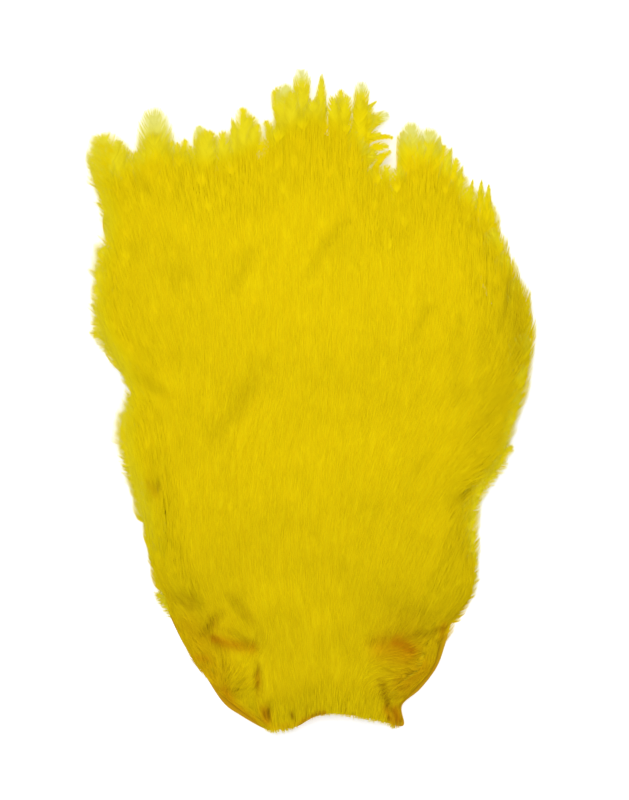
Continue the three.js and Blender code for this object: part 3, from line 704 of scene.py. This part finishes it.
def on_cape(f, u, v, above=0.0):
    """The places of the vane's points (u, v) on the cape, with z, and the dye's tone and thinness there."""
    flat = f.place(u, v)
    z = np.maximum(terrain.at(terrain.height, flat) + f.rise(u, v) + above, LOWEST)
    tone = f.tone * terrain.at(terrain.tone, flat)
    return np.concatenate([flat, z[..., None]], -1), tone, terrain.at(terrain.thin, flat)


def frayed(f, u, v, clump, sections, draw):
    """The barbs' paths: some longer, the ends of each clump drawn together, and a slight sway."""
    n = len(u)
    spread = 0.5 * draw.uniform(0, 1, n)[clump] + 0.5 * draw.uniform(0, 1, n)
    stray = STRAY_LENGTH * f.loose * (draw.uniform(0, 1, n) < STRAYS)
    longer = 1 + (f.kind.fray * (1 - 3 * spread) + stray)[:, None]
    u, v = u[:, :1] + (u - u[:, :1]) * longer, v * longer
    members = np.maximum(np.bincount(clump, minlength=n), 1)
    for path in (u, v):
        mean = np.bincount(clump, path[:, -1], n) / members
        path += (mean[clump] - path[:, -1])[:, None] * f.kind.clump * sections ** 2
    v += BARB_SWAY * sections * np.sin(5 * sections + draw.uniform(0, 6.3, (n, 1)))
    return u, v


def add_barbs(sheaf, index, f, draw):
    """The barbs of both sides of a vane, as tapering strips."""
    sections = LONG_SECTIONS if f.loose and f.width > WIDE else SHORT_SECTIONS
    n = max(int((f.length - f.base + f.width / 4) / f.kind.spacing), 8)
    for side in (-1, 1):
        at = np.clip((np.arange(n) + draw.uniform(-BARB_SHIFT, BARB_SHIFT, n)) / (n - 1), 0, 1)
        clump = clump_ids(draw, n)
        u, v = barb_paths(f, at, sections)
        u, v = frayed(f, u, side * v, clump, sections, draw)
        rise = differing(draw, clump, *BARB_RISE)[:, None]
        centre, tone, thin = on_cape(f, u, v, rise * (1 + f.loose) * sections ** 1.5)
        roll = differing(draw, clump, *BARB_ROLL)[:, None]
        half = 0.5 * (f.kind.wide * (1 - sections ** 2.2) + BARB_END) + 0 * roll
        shade = 1 + differing(draw, clump, BARB_TONE + EDGE_TONE * f.loose, BARB_TONE)
        along = (np.arange(n)[:, None, None] + 0.5 + BARB_COLUMN * SIDES) / n + 0 * half[..., None]
        maps = sheaf.cell(index, along, BARB_ROW[side] + BARB_ROW_WIDTH * sections[None, :, None] + 0 * along)
        tip = np.maximum(thin, see_through(f, u, sections))
        sheaf.grid(strips(centre, half, roll), maps, (tone * shade[:, None])[..., None], tip[..., None])


def add_web(sheaf, index, f):
    """The part of the vane that holds together, and the rachis down its middle."""
    at = np.linspace(0, 1, 15 if f.loose else 6)
    across = np.linspace(0, 1, 5 if f.loose else 3) * f.kind.web
    u, v = barb_paths(f, at, across)
    rim = np.hstack([across[:0:-1], across])
    u, v = np.hstack([u[:, :0:-1], u]), np.hstack([-v[:, :0:-1], v])
    points, tone, thin = on_cape(f, u, v, -WEB_DROP)
    maps = sheaf.cell(index, at[:, None] + 0 * u, np.linspace(*WEB_ROW, u.shape[1]) + 0 * u)
    tip = np.maximum(thin, see_through(f, u, rim))
    # the web gets painted shade, being darker under the barbs
    sheaf.grid(points[None], maps[None], tone[None] * WEB_PAINTED_SHADE, tip[None])
    s = np.linspace(0, 1, 12)[:, None]
    thick, fine = RACHIS_RADIUS
    radius = fine + (thick - fine) * (1 - s) ** RACHIS_POWER * min(f.width / 10, 1)
    turn = np.radians([0, 90, 180, 270, 360])
    u = s * f.shaft + 0 * turn
    points, tone, thin = on_cape(f, u, radius * np.cos(turn), radius * np.sin(turn) - 0.5 * WEB_DROP)
    maps = sheaf.cell(index, s + 0 * u, np.linspace(*RACHIS_ROW, 5) + 0 * u)
    tip = np.maximum(thin, see_through(f, u, 0))
    sheaf.grid(points[None], maps[None], tone[None], tip[None])


# Loose strands

STRAND_SECTIONS = 5
SHARES = np.linspace(0, 1, STRAND_SECTIONS)  # of a strand's length, from its root
STRAND_END = 0.02  # a strand's width at its very end
STRAND_ROLL = 0.15
STRAND_BLOCK = 6  # on their map they have about this many times as many rows as columns


def grown(roots, degrees, lengths, turned):
    """Strands from their roots. turned(step, degrees, places) gives their directions for the next step."""
    points = [roots]
    for k in range(STRAND_SECTIONS - 1):
        points.append(points[-1] + pointing(degrees) * (lengths / (STRAND_SECTIONS - 1))[:, None])
        degrees = turned(k, degrees, points[-1])
    return np.stack(points, 1)


def kept_inside(flat, margin, head_margin):
    """The points, moved in from the sides and the head end of the outline where they are past it."""
    x, y = flat[..., 0], flat[..., 1]
    x = np.clip(x, through(LEFT_SIDE, y) + margin, through(RIGHT_SIDE, y) - margin)
    return np.stack([x, np.maximum(y, through(HEAD_EDGE, x) + head_margin)], -1)


def tapering(draw, widths, n):
    """The half widths of n strands whose widths at the root are between the two given."""
    return 0.5 * (draw.uniform(*widths, (n, 1)) * (1 - SHARES ** 2) + STRAND_END)


def strand_piece(name, material, flat, z, half, tone, tip, draw):
    """A piece of loose strands at the places flat and the heights z, as tapering strips."""
    centre = np.concatenate([flat, z[..., None]], -1)
    n = len(centre)
    points = strips(centre, half, draw.normal(0, STRAND_ROLL, (n, 1)))
    columns = int(np.ceil(np.sqrt(n / STRAND_BLOCK)))
    rows = int(np.ceil(n / columns))
    at = np.arange(n)[:, None, None]
    column = (at % columns + 0.5 + BARB_COLUMN * SIDES) / columns
    row = (at // columns + 0.08 + 0.84 * SHARES[:, None]) / rows
    sheaf = Sheaf(name)
    sheaf.grid(points, np.stack(np.broadcast_arrays(column, row), -1), tone[..., None], tip[..., None])
    sheaf.piece(material, "plumage", "plumage")


STRANDS = 28000
STRAND_FIELD = (-66, 66, -94, 90)
STRAND_PIECES = (("strands_head", -FAR, -8), ("strands_tail", -8, FAR))
STRAND_LENGTH = [(-96, 8), (-60, 11), (0, 13), (80, 14)]  # (y, length)
STRAND_WIDTHS = (0.09, 0.17)
STRAND_FADE = 3  # a strand has turned into the flow after this many sections from its tip
STRAND_RISE = 0.5  # how high they lie over the terrain
STRAND_DIP = 0.6  # how much lower they lie at the tail end
STRAND_MARGIN = 0.8
# How much their directions differ: from one to the next, and over long and short ways
STRAND_TURN = 5
STRAND_WAVE = 6
STRAND_CURL = 4
STRAND_SPREAD = 0.01  # how much their tones differ, and those of their locks
STRAND_LOCKS = 0.005


def strands(material):
    """Long fine barbs that lie loose on the plumage."""
    draw = np.random.default_rng(8)
    tips = tried(draw, STRAND_FIELD, 3 * STRANDS)
    x, y = tips.T
    inside = between_sides(x, y, STRAND_MARGIN)
    inside &= (y < through(TAIL_LINE, x) - draw.uniform(-3, 4, len(x))) & (y > through(HEAD_LINE, x) + 2)
    tips = tips[inside][:STRANDS]
    n, matted = len(tips), matted_at(*tips.T)
    lengths = draw.uniform(0.5, 1.1, n) * through(STRAND_LENGTH, tips[:, 1])
    degrees = flow_at(*tips.T) + STRAND_WAVE * ripple(*tips.T, 7, 81) + draw.normal(0, STRAND_TURN, n)
    degrees = degrees + (STRAND_CURL + MATTED_TURN * matted) * ripple(*tips.T, 3, 82)
    paths, _ = traced(tips, degrees, lengths, STRAND_SECTIONS - 1, STRAND_FADE)
    flat = kept_inside(paths, 0.4, 0.4)
    z = terrain.at(terrain.height, flat) + STRAND_RISE
    z = z + draw.uniform(-0.05, 0.22, (n, 1)) * SHARES - 0.5 * (1 - SHARES) ** 2
    z = z - STRAND_DIP * smooth(8, -2, through(TAIL_LINE, flat[..., 0]) - flat[..., 1])
    sine, cosine = pointing(degrees).T
    across, along = tips[:, 0] * cosine - tips[:, 1] * sine, tips[:, 0] * sine + tips[:, 1] * cosine
    locks = (STRAND_LOCKS + MATTED_LOCKS * matted) * ripple(across, 0.25 * along, 1.7, 84)
    shade = 1 + (STRAND_SPREAD + MATTED_SPREAD * matted) * draw.normal(0, 1, n) + locks
    tone = terrain.at(terrain.tone, flat) * shade[:, None]
    thin = terrain.at(terrain.thin, flat)
    half = tapering(draw, STRAND_WIDTHS, n)
    for name, low, high in STRAND_PIECES:
        own = (tips[:, 1] >= low) & (tips[:, 1] < high)
        strand_piece(name, material, flat[own], z[own], half[own], tone[own], thin[own], draw)


DOWN_TURN = 9  # how much the directions of the down differ
RIM_STRANDS = 6500
RIM_FROM = -50  # it is only on the head side of this Y
RIM_MIDDLE = np.array([3, -62])  # its roots lie inward, towards this place
RIM_INSET = (-1.2, 6)  # by this much from the hide's edge
RIM_LENGTHS = (3, 8)
RIM_WIDTHS = (0.1, 0.2)
RIM_FUZZ = 0.4  # how far they stray out of the outline
RIM_GREEN = 0.5  # how much light comes through their roots
RIM_ROOT = 4  # the root that the light comes through is one part of a strand in this many


def rim_strands(material):
    """The down that hangs over the edge of the skin and hides it."""
    draw = np.random.default_rng(17)
    n = RIM_STRANDS
    edge = closed_curve(SKIN_EDGE, 40)
    edge = edge[edge[:, 1] < RIM_FROM]
    starts = edge[draw.integers(0, len(edge), n)]
    inward = RIM_MIDDLE - starts
    inward /= np.linalg.norm(inward, axis=1, keepdims=True)
    roots = starts + inward * draw.uniform(*RIM_INSET, (n, 1))
    lengths = draw.uniform(*RIM_LENGTHS, n)
    degrees = flow_at(*roots.T) + draw.normal(0, DOWN_TURN, n)
    paths = grown(roots, degrees, lengths, lambda k, own, places: 0.6 * own + 0.4 * flow_at(*places.T))
    fuzz = draw.normal(0, RIM_FUZZ, (n, 1))
    flat = kept_inside(paths, draw.uniform(0.5, 4, (n, 1)), fuzz)
    z = terrain.at(terrain.height, flat) + draw.uniform(0.2, 0.8, (n, 1)) - 0.6 * (1 - SHARES) ** 2
    tone = terrain.at(terrain.tone, flat) * (1 + draw.normal(0, 0.06, (n, 1)))
    root = np.clip(1 - RIM_ROOT * SHARES, 0, 1) + 0 * z
    half = 0.5 * (draw.uniform(*RIM_WIDTHS, (n, 1)) * (1 - SHARES ** 2) * (1 - 0.6 * root) + STRAND_END)
    strand_piece("rim_down", material, flat, z, half, tone, RIM_GREEN * root, draw)


SIDE_DOWN = 5600
SIDE_DOWN_LEFT = 0.94  # the share of it that is on the left side
SIDE_DOWN_SPANS = ((-56, 76), (-50, 36))  # its Y on the left and on the right side
SIDE_DOWN_LENGTHS = ((2.8, 6.4), (2.5, 5.4))
SIDE_DOWN_TURNS = (-28, 6)  # how far it turns out of the flow
SIDE_DOWN_WAVE = 14
SIDE_DOWN_WIDTHS = (0.08, 0.14)
SIDE_DOWN_DEPTH = 3.8  # how wide the band is from which it grows
# How far inside the sides it starts: on the left (y, this), and on the right
SIDE_DOWN_INSET = [
    (-60, 2.6), (-50, 2.7), (-38, 3), (-30, 2.8), (-24, 2.1), (-16, 0.7), (-10, 0.3), (-6, 1.7), (-1.5, 3.4),
    (3, 4.3), (8, 3.4), (13, 2.1), (18, 1.5), (24, 2), (31, 3), (37, 2.2), (43, 2.2), (48, 2.4), (53, 2.4),
    (60, 1), (67, 1.2), (76, 1.2),
]
SIDE_DOWN_INSET_RIGHT = 2.2


def side_down(material):
    """Short loose down that stands out of the sides, and makes them soft."""
    draw = np.random.default_rng(29)
    n = SIDE_DOWN
    left = draw.uniform(0, 1, n) < SIDE_DOWN_LEFT
    y = np.where(left, *(draw.uniform(*span, n) for span in SIDE_DOWN_SPANS))
    inside = draw.uniform(0, SIDE_DOWN_DEPTH, n)
    x = np.where(left, through(LEFT_SIDE, y) + inside + through(SIDE_DOWN_INSET, y),
                 through(RIGHT_SIDE, y) - inside - SIDE_DOWN_INSET_RIGHT)
    lengths = np.where(left, *(draw.uniform(*span, n) for span in SIDE_DOWN_LENGTHS))
    degrees = flow_at(x, y) + np.where(left, *SIDE_DOWN_TURNS) + SIDE_DOWN_WAVE * ripple(x, y, 5, 83)
    degrees = degrees + draw.normal(0, DOWN_TURN, n)
    sways = draw.normal(0, 3, (STRAND_SECTIONS, n))
    flat = grown(np.stack([x, y], 1), degrees, lengths, lambda k, own, places: own + sways[k])
    z = terrain.at(terrain.height, flat) + draw.uniform(-0.6, 0.3, (n, 1))
    tone = terrain.at(terrain.tone, flat) * (1 + draw.normal(0, 0.02, (n, 1)))
    half = tapering(draw, SIDE_DOWN_WIDTHS, n)
    # painted light: their ends are painted paler, as light that comes through them
    strand_piece("side_down", material, flat, z, half, tone, 0.15 + 0.65 * SHARES ** 2 + 0 * z, draw)


UNDER_CELLS = (110, 70)
UNDER_START = -92  # its Y before it is fitted to the tips, and how long it is
UNDER_LENGTH = 172
UNDER_RISE = 0.3  # the under-layer's middle lies this far over the terrain, among the feathers
UNDER_INSET = 0.96  # its share of the half width
UNDER_HEAD = 1  # it starts this far in from the tips of the head end
UNDER_TAIL = 9  # and ends this far in from the tips of the tail end
UNDER_RIM = 1.4  # its rim dips this far under the feathers
UNDER_LOWEST = 0.9
# painted shade: the under-layer, which lies beneath the feathers, is painted this much darker
UNDER_PAINTED_SHADE = 0.92
UNDER_MAP = (0.02, 0.98)  # where it is in its map


def under_layer(material):
    """The dense down between the roots, which closes the gaps between the feathers."""
    rows = np.linspace(0, 1, UNDER_CELLS[0])[:, None]
    across = np.linspace(-1, 1, UNDER_CELLS[1])[None]
    y = UNDER_START + UNDER_LENGTH * rows
    left, right = through(LEFT_SIDE, y), through(RIGHT_SIDE, y)
    x = (left + right) / 2 + (right - left) / 2 * across * UNDER_INSET
    low, high = through(HEAD_LINE, x) + UNDER_HEAD, through(TAIL_LINE, x) - UNDER_TAIL
    y = low + (high - low) * rows
    flat = np.stack([x, y], -1)
    ends = np.maximum(smooth(0.88, 1, rows), smooth(0.02, 0, rows))
    rim = np.maximum(smooth(0.82, 1, np.abs(across)), ends)
    z = terrain.at(terrain.height, flat) + UNDER_RISE - UNDER_RIM * rim
    z = np.maximum(z + 0.015 * ripple(x, y, 1.6, 90), UNDER_LOWEST)
    points = np.concatenate([flat, z[..., None]], -1)
    start, end = UNDER_MAP
    maps = np.stack([start + (end - start) * (k + 0 * x) for k in (across * 0.5 + 0.5, rows)], -1)
    sheaf = Sheaf("under_layer")
    # the under-layer gets painted shade, being darker beneath the feathers
    sheaf.grid(points[None], maps[None], terrain.at(terrain.tone, flat)[None] * UNDER_PAINTED_SHADE, 0)
    sheaf.piece(material, "plumage", "plumage")


# The skin

# Its edge: (x, y)
SKIN_EDGE = [
    (-13.5, -97.4), (-20.9, -93.3), (-26.2, -89.3), (-32.1, -80.3), (-36.9, -73.6), (-41, -65.5),
    (-43.7, -58.2), (-46.7, -47.7), (-49, -35.2), (-50.5, -20.4), (-51, -5), (-53, 12), (-54, 30),
    (-49, 42), (-36, 47), (-18, 49), (2, 50), (22, 48), (38, 42), (51, 29), (55, 12), (53, -5),
    (49.5, -20.4), (48, -35.2), (48.8, -47.1), (47.6, -58), (42.4, -64.6), (40, -72.3), (37.5, -79.1),
    (32.6, -85.6), (27.2, -90.4), (27.6, -96.4), (21.5, -95.3), (14.7, -93.8), (5.8, -92.9), (0.4, -94.2),
    (-3.7, -96.6), (-9, -97.6),
]
SKIN_STEPS = 9  # points between two of these
SKIN_RINGS = 26
RING_POWER = 1.5  # the rings lie closer towards the edge
# The rings shrink towards a line down the middle, at this X and between these Y
SPINE_X = 3
SPINE_Y = (-70, 24)
SKIN_THICKNESS = 0.9
SKIN_ROUND = 0.975  # its rim is round from this share of the way to the edge on
SKIN_CURL = 0.45  # how far the dried edge lifts
SKIN_CURL_FROM = 0.88
SKIN_CURL_WAVES = 9
SKIN_WRINKLE = 0.14


def closed_curve(points, steps):
    """A closed smooth curve through the points."""
    p = np.array(points, float)
    t = (np.arange(steps) / steps)[:, None]
    pieces = []
    for k in range(len(p)):
        a, b, c, d = p[k - 1], p[k], p[(k + 1) % len(p)], p[(k + 2) % len(p)]
        pieces.append(b + 0.5 * t * (c - a + t * (2 * a - 5 * b + 4 * c - d + t * (3 * (b - c) + d - a))))
    return np.concatenate(pieces)


def hide(material):
    """The dried skin: its edge curls up a little, and both faces are wrinkled."""
    edge = closed_curve(SKIN_EDGE, SKIN_STEPS)
    edge = np.vstack([edge, edge[:1]])
    around = np.linspace(0, 1, len(edge))[:, None]
    rings = 1 - np.linspace(0, 1, SKIN_RINGS) ** RING_POWER
    spine = np.stack([np.full(len(edge), SPINE_X), np.clip(edge[:, 1], *SPINE_Y)], 1)
    share = np.concatenate([rings[::-1], rings])
    flat = spine[:, None] + (edge - spine)[:, None] * share[:, None]
    x, y = flat[..., 0], flat[..., 1]
    waves = 0.6 + 0.4 * np.sin(2 * np.pi * SKIN_CURL_WAVES * around)
    curl = SKIN_CURL * waves * smooth(SKIN_CURL_FROM, 1, share) ** 2
    wrinkle = SKIN_WRINKLE * (1 + 0.6 * ripple(x, y, 7, 40) + 0.4 * ripple(x, y, 2.4, 41))
    half = SKIN_THICKNESS / 2
    rim = np.sqrt(np.clip(1 - smooth(SKIN_ROUND, 1, share), 0, 1))
    below = np.arange(len(share)) < SKIN_RINGS
    z = curl + wrinkle + half + np.where(below, -half, half) * rim
    z = np.maximum(z - np.min(z), 0)
    tone = 1 + 0.05 * ripple(x, y, 11, 42) + 0.03 * ripple(x, y, 3, 43)
    # The lower face takes one half of the map and the upper face the other.
    maps = np.stack([0.5 + 0.0075 * x, np.where(below, 0.25, 0.75) + 0.0022 * y], -1)
    sheaf = Sheaf("hide")
    sheaf.grid(np.concatenate([flat, z[..., None]], -1)[None], maps[None], tone[None], 0)
    sheaf.piece(material, "skin", "skin")


# Materials

ROUGHNESS = 0.7
SPECULAR = 0.03
RUN_DARK = 0.5  # where the dye has run, it is as dark as its tone, but no darker than this
PALE_POWER = 4  # only the thinnest places are pale
NOISE_SCALE = 90
NOISE_TONE = (-0.05, 0.03)  # how much the noise takes from the tone, and adds to it


def plain(name):
    """A new material, its node tree and its shader."""
    material = bpy.data.materials.new(name)
    material.use_nodes = True
    shader = material.node_tree.nodes["Principled BSDF"]
    shader.inputs["Roughness"].default_value = ROUGHNESS
    return material, material.node_tree, shader


def node(tree, kind, output, *feeds, **settings):
    """An output of a new node. feeds are its inputs, each with a value or with another node's output."""
    made = tree.nodes.new("ShaderNode" + kind)
    for name, value in settings.items():
        setattr(made, name, value)
    for name, value in feeds:
        if isinstance(value, bpy.types.NodeSocket):
            tree.links.new(value, made.inputs[name])
        else:
            made.inputs[name].default_value = value
    return made.outputs[output]


def mixed(tree, share, first, second, blend="MIX"):
    """The first colour with a share of the second."""
    return node(tree, "Mix", 2, (0, share), (6, first), (7, second), data_type="RGBA", blend_type=blend)


def toned(tree, tone, tones):
    """The dye's colour by its tone."""
    colour = node(tree, "ValToRGB", "Color", ("Fac", tone))
    stops = colour.node.color_ramp.elements
    for stop, (at, shade) in zip(stops, (tones[0], tones[-1])):
        stop.position, stop.color = at, (*shade, 1)
    for at, shade in tones[1:-1]:
        stops.new(at).color = (*shade, 1)
    return colour


def dye(name, tones, run, thin, pale):
    """Dyed barbs: their colour by the tone, orange and tip of each place, matt with hardly any sheen.

    tones are (tone, colour) from the darkest to the freshest, run is the colour where the dye has run, and
    thin and pale are the colours of places where some and where much light comes through.
    """
    material, tree, shader = plain(name)
    shader.inputs["Specular IOR Level"].default_value = SPECULAR
    tone, tip, orange = (node(tree, "Attribute", "Fac", attribute_name=k) for k in ("tone", "tip", "orange"))
    place = node(tree, "TexCoord", "Object")
    noise = node(tree, "TexNoise", "Fac", ("Vector", place), ("Scale", NOISE_SCALE), ("Detail", 3))
    low, high = NOISE_TONE
    noise = node(tree, "MapRange", "Result", ("Value", noise), ("To Min", low), ("To Max", high))
    tone = node(tree, "Math", "Value", (0, tone), (1, noise))
    dark = node(tree, "MapRange", "Result", ("Value", tone), ("From Min", RUN_DARK), ("To Min", RUN_DARK))
    stain = mixed(tree, 1, (*run, 1), dark, "MULTIPLY")
    colour = mixed(tree, orange, toned(tree, tone, tones), stain)
    colour = mixed(tree, tip, colour, (*thin, 1))
    most = node(tree, "Math", "Value", (0, tip), (1, PALE_POWER), operation="POWER")
    colour = mixed(tree, most, colour, (*pale, 1))
    tree.links.new(colour, shader.inputs["Base Color"])
    return material


FEATHER_TONES = [
    (0.42, (0.2, 0.08, 0.0005)), (0.7, (0.5, 0.33, 0.0005)), (0.86, (0.68, 0.515, 0.0005)),
    (1, (0.83, 0.64, 0.0005)),
]
FEATHER_RUN = (0.72, 0.3, 0.0005)
FEATHER_THIN = (0.72, 0.7, 0.002)
FEATHER_PALE = (0.78, 0.76, 0.36)
SKIN_TONES = [(0.62, (0.36, 0.15, 0.003)), (1, (0.56, 0.35, 0.003))]
SKIN_RUN = (0.5, 0.25, 0.003)
SKIN_THIN = (0.6, 0.45, 0.01)
SKIN_PALE = (0.7, 0.5, 0.1)

# The pieces of feathers: (name, 1 for the feathers of the outline, from this Y, to this Y)
PARTS = (
    ("feathers_neck", 0, -FAR, -38), ("feathers_back", 0, -38, 4), ("feathers_shoulder", 0, 4, 36),
    ("feathers_saddle", 0, 36, FAR), ("edge_sides", 1, -FAR, 62), ("edge_tail", 1, 62, FAR),
)


def plumage(material):
    """All pieces of the plumage."""
    feathers = all_feathers()
    for name, loose, low, high in PARTS:
        members = [f for f in feathers if f.loose == loose and low <= f.line[-1][1] < high]
        sheaf = Sheaf(name, len(members))
        draw = np.random.default_rng(len(name))
        for index, f in enumerate(members):
            add_web(sheaf, index, f)
            add_barbs(sheaf, index, f, draw)
        sheaf.piece(material, "plumage", "plumage")
    for made_of in (strands, rim_strands, side_down, under_layer):
        made_of(material)


plumage(dye("dyed feather", FEATHER_TONES, FEATHER_RUN, FEATHER_THIN, FEATHER_PALE))
hide(dye("dried skin", SKIN_TONES, SKIN_RUN, SKIN_THIN, SKIN_PALE))

# The stage

IMAGE_HEIGHT = 800  # the photograph's, in pixels
PIXEL = 0.2962
LENS = 100
SENSOR = 36
VIEW_MIDDLE = np.array([1.18, 0.3])
VIEW_PLANE = 3  # a pixel has its size at this height
VIEW_HEIGHT = IMAGE_HEIGHT * PIXEL * LENS / SENSOR + VIEW_PLANE
# The table and the lamp are in metres
TABLE_SIZE = 6
TABLE_SHADE = 0.95
TABLE_GLOW = 0.3  # keeps it white under the soft light
SKY_STRENGTH = 0.78
LAMP_PLACE = (-0.14, 0.3, 0.95)
LAMP_SIZE = 0.6
LAMP_POWER = 3.8
WHITE = (1, 1, 1, 1)


def camera():
    """Straight above the cape, as in the photograph."""
    data = bpy.data.cameras.new("camera")
    data.lens = LENS
    data.sensor_width = SENSOR
    data.clip_start = 0.01
    made = added("camera", data)
    made.location = (*((VIEW_MIDDLE - MIDDLE) * MM), VIEW_HEIGHT * MM)
    bpy.context.scene.camera = made


def table():
    bpy.ops.mesh.primitive_plane_add(size=TABLE_SIZE)
    floor = bpy.context.object
    floor.name = "table"
    material, _, shader = plain("pale table")
    shader.inputs["Base Color"].default_value = (TABLE_SHADE, TABLE_SHADE, TABLE_SHADE, 1)
    shader.inputs["Emission Color"].default_value = WHITE
    shader.inputs["Emission Strength"].default_value = TABLE_GLOW
    floor.data.materials.append(material)


def light():
    """An even white sky and one large soft lamp."""
    world = bpy.data.worlds.new("studio")
    world.use_nodes = True
    sky = world.node_tree.nodes["Background"].inputs
    sky["Color"].default_value = WHITE
    sky["Strength"].default_value = SKY_STRENGTH
    bpy.context.scene.world = world
    data = bpy.data.lights.new("key", "AREA")
    data.shape = "DISK"
    data.size = LAMP_SIZE
    data.energy = LAMP_POWER
    made = added("key", data)
    made.location = LAMP_PLACE
    made.rotation_euler = (-Vector(LAMP_PLACE)).to_track_quat("-Z", "Y").to_euler()


camera()
table()
light()
bpy.context.scene.view_settings.view_transform = "Standard"
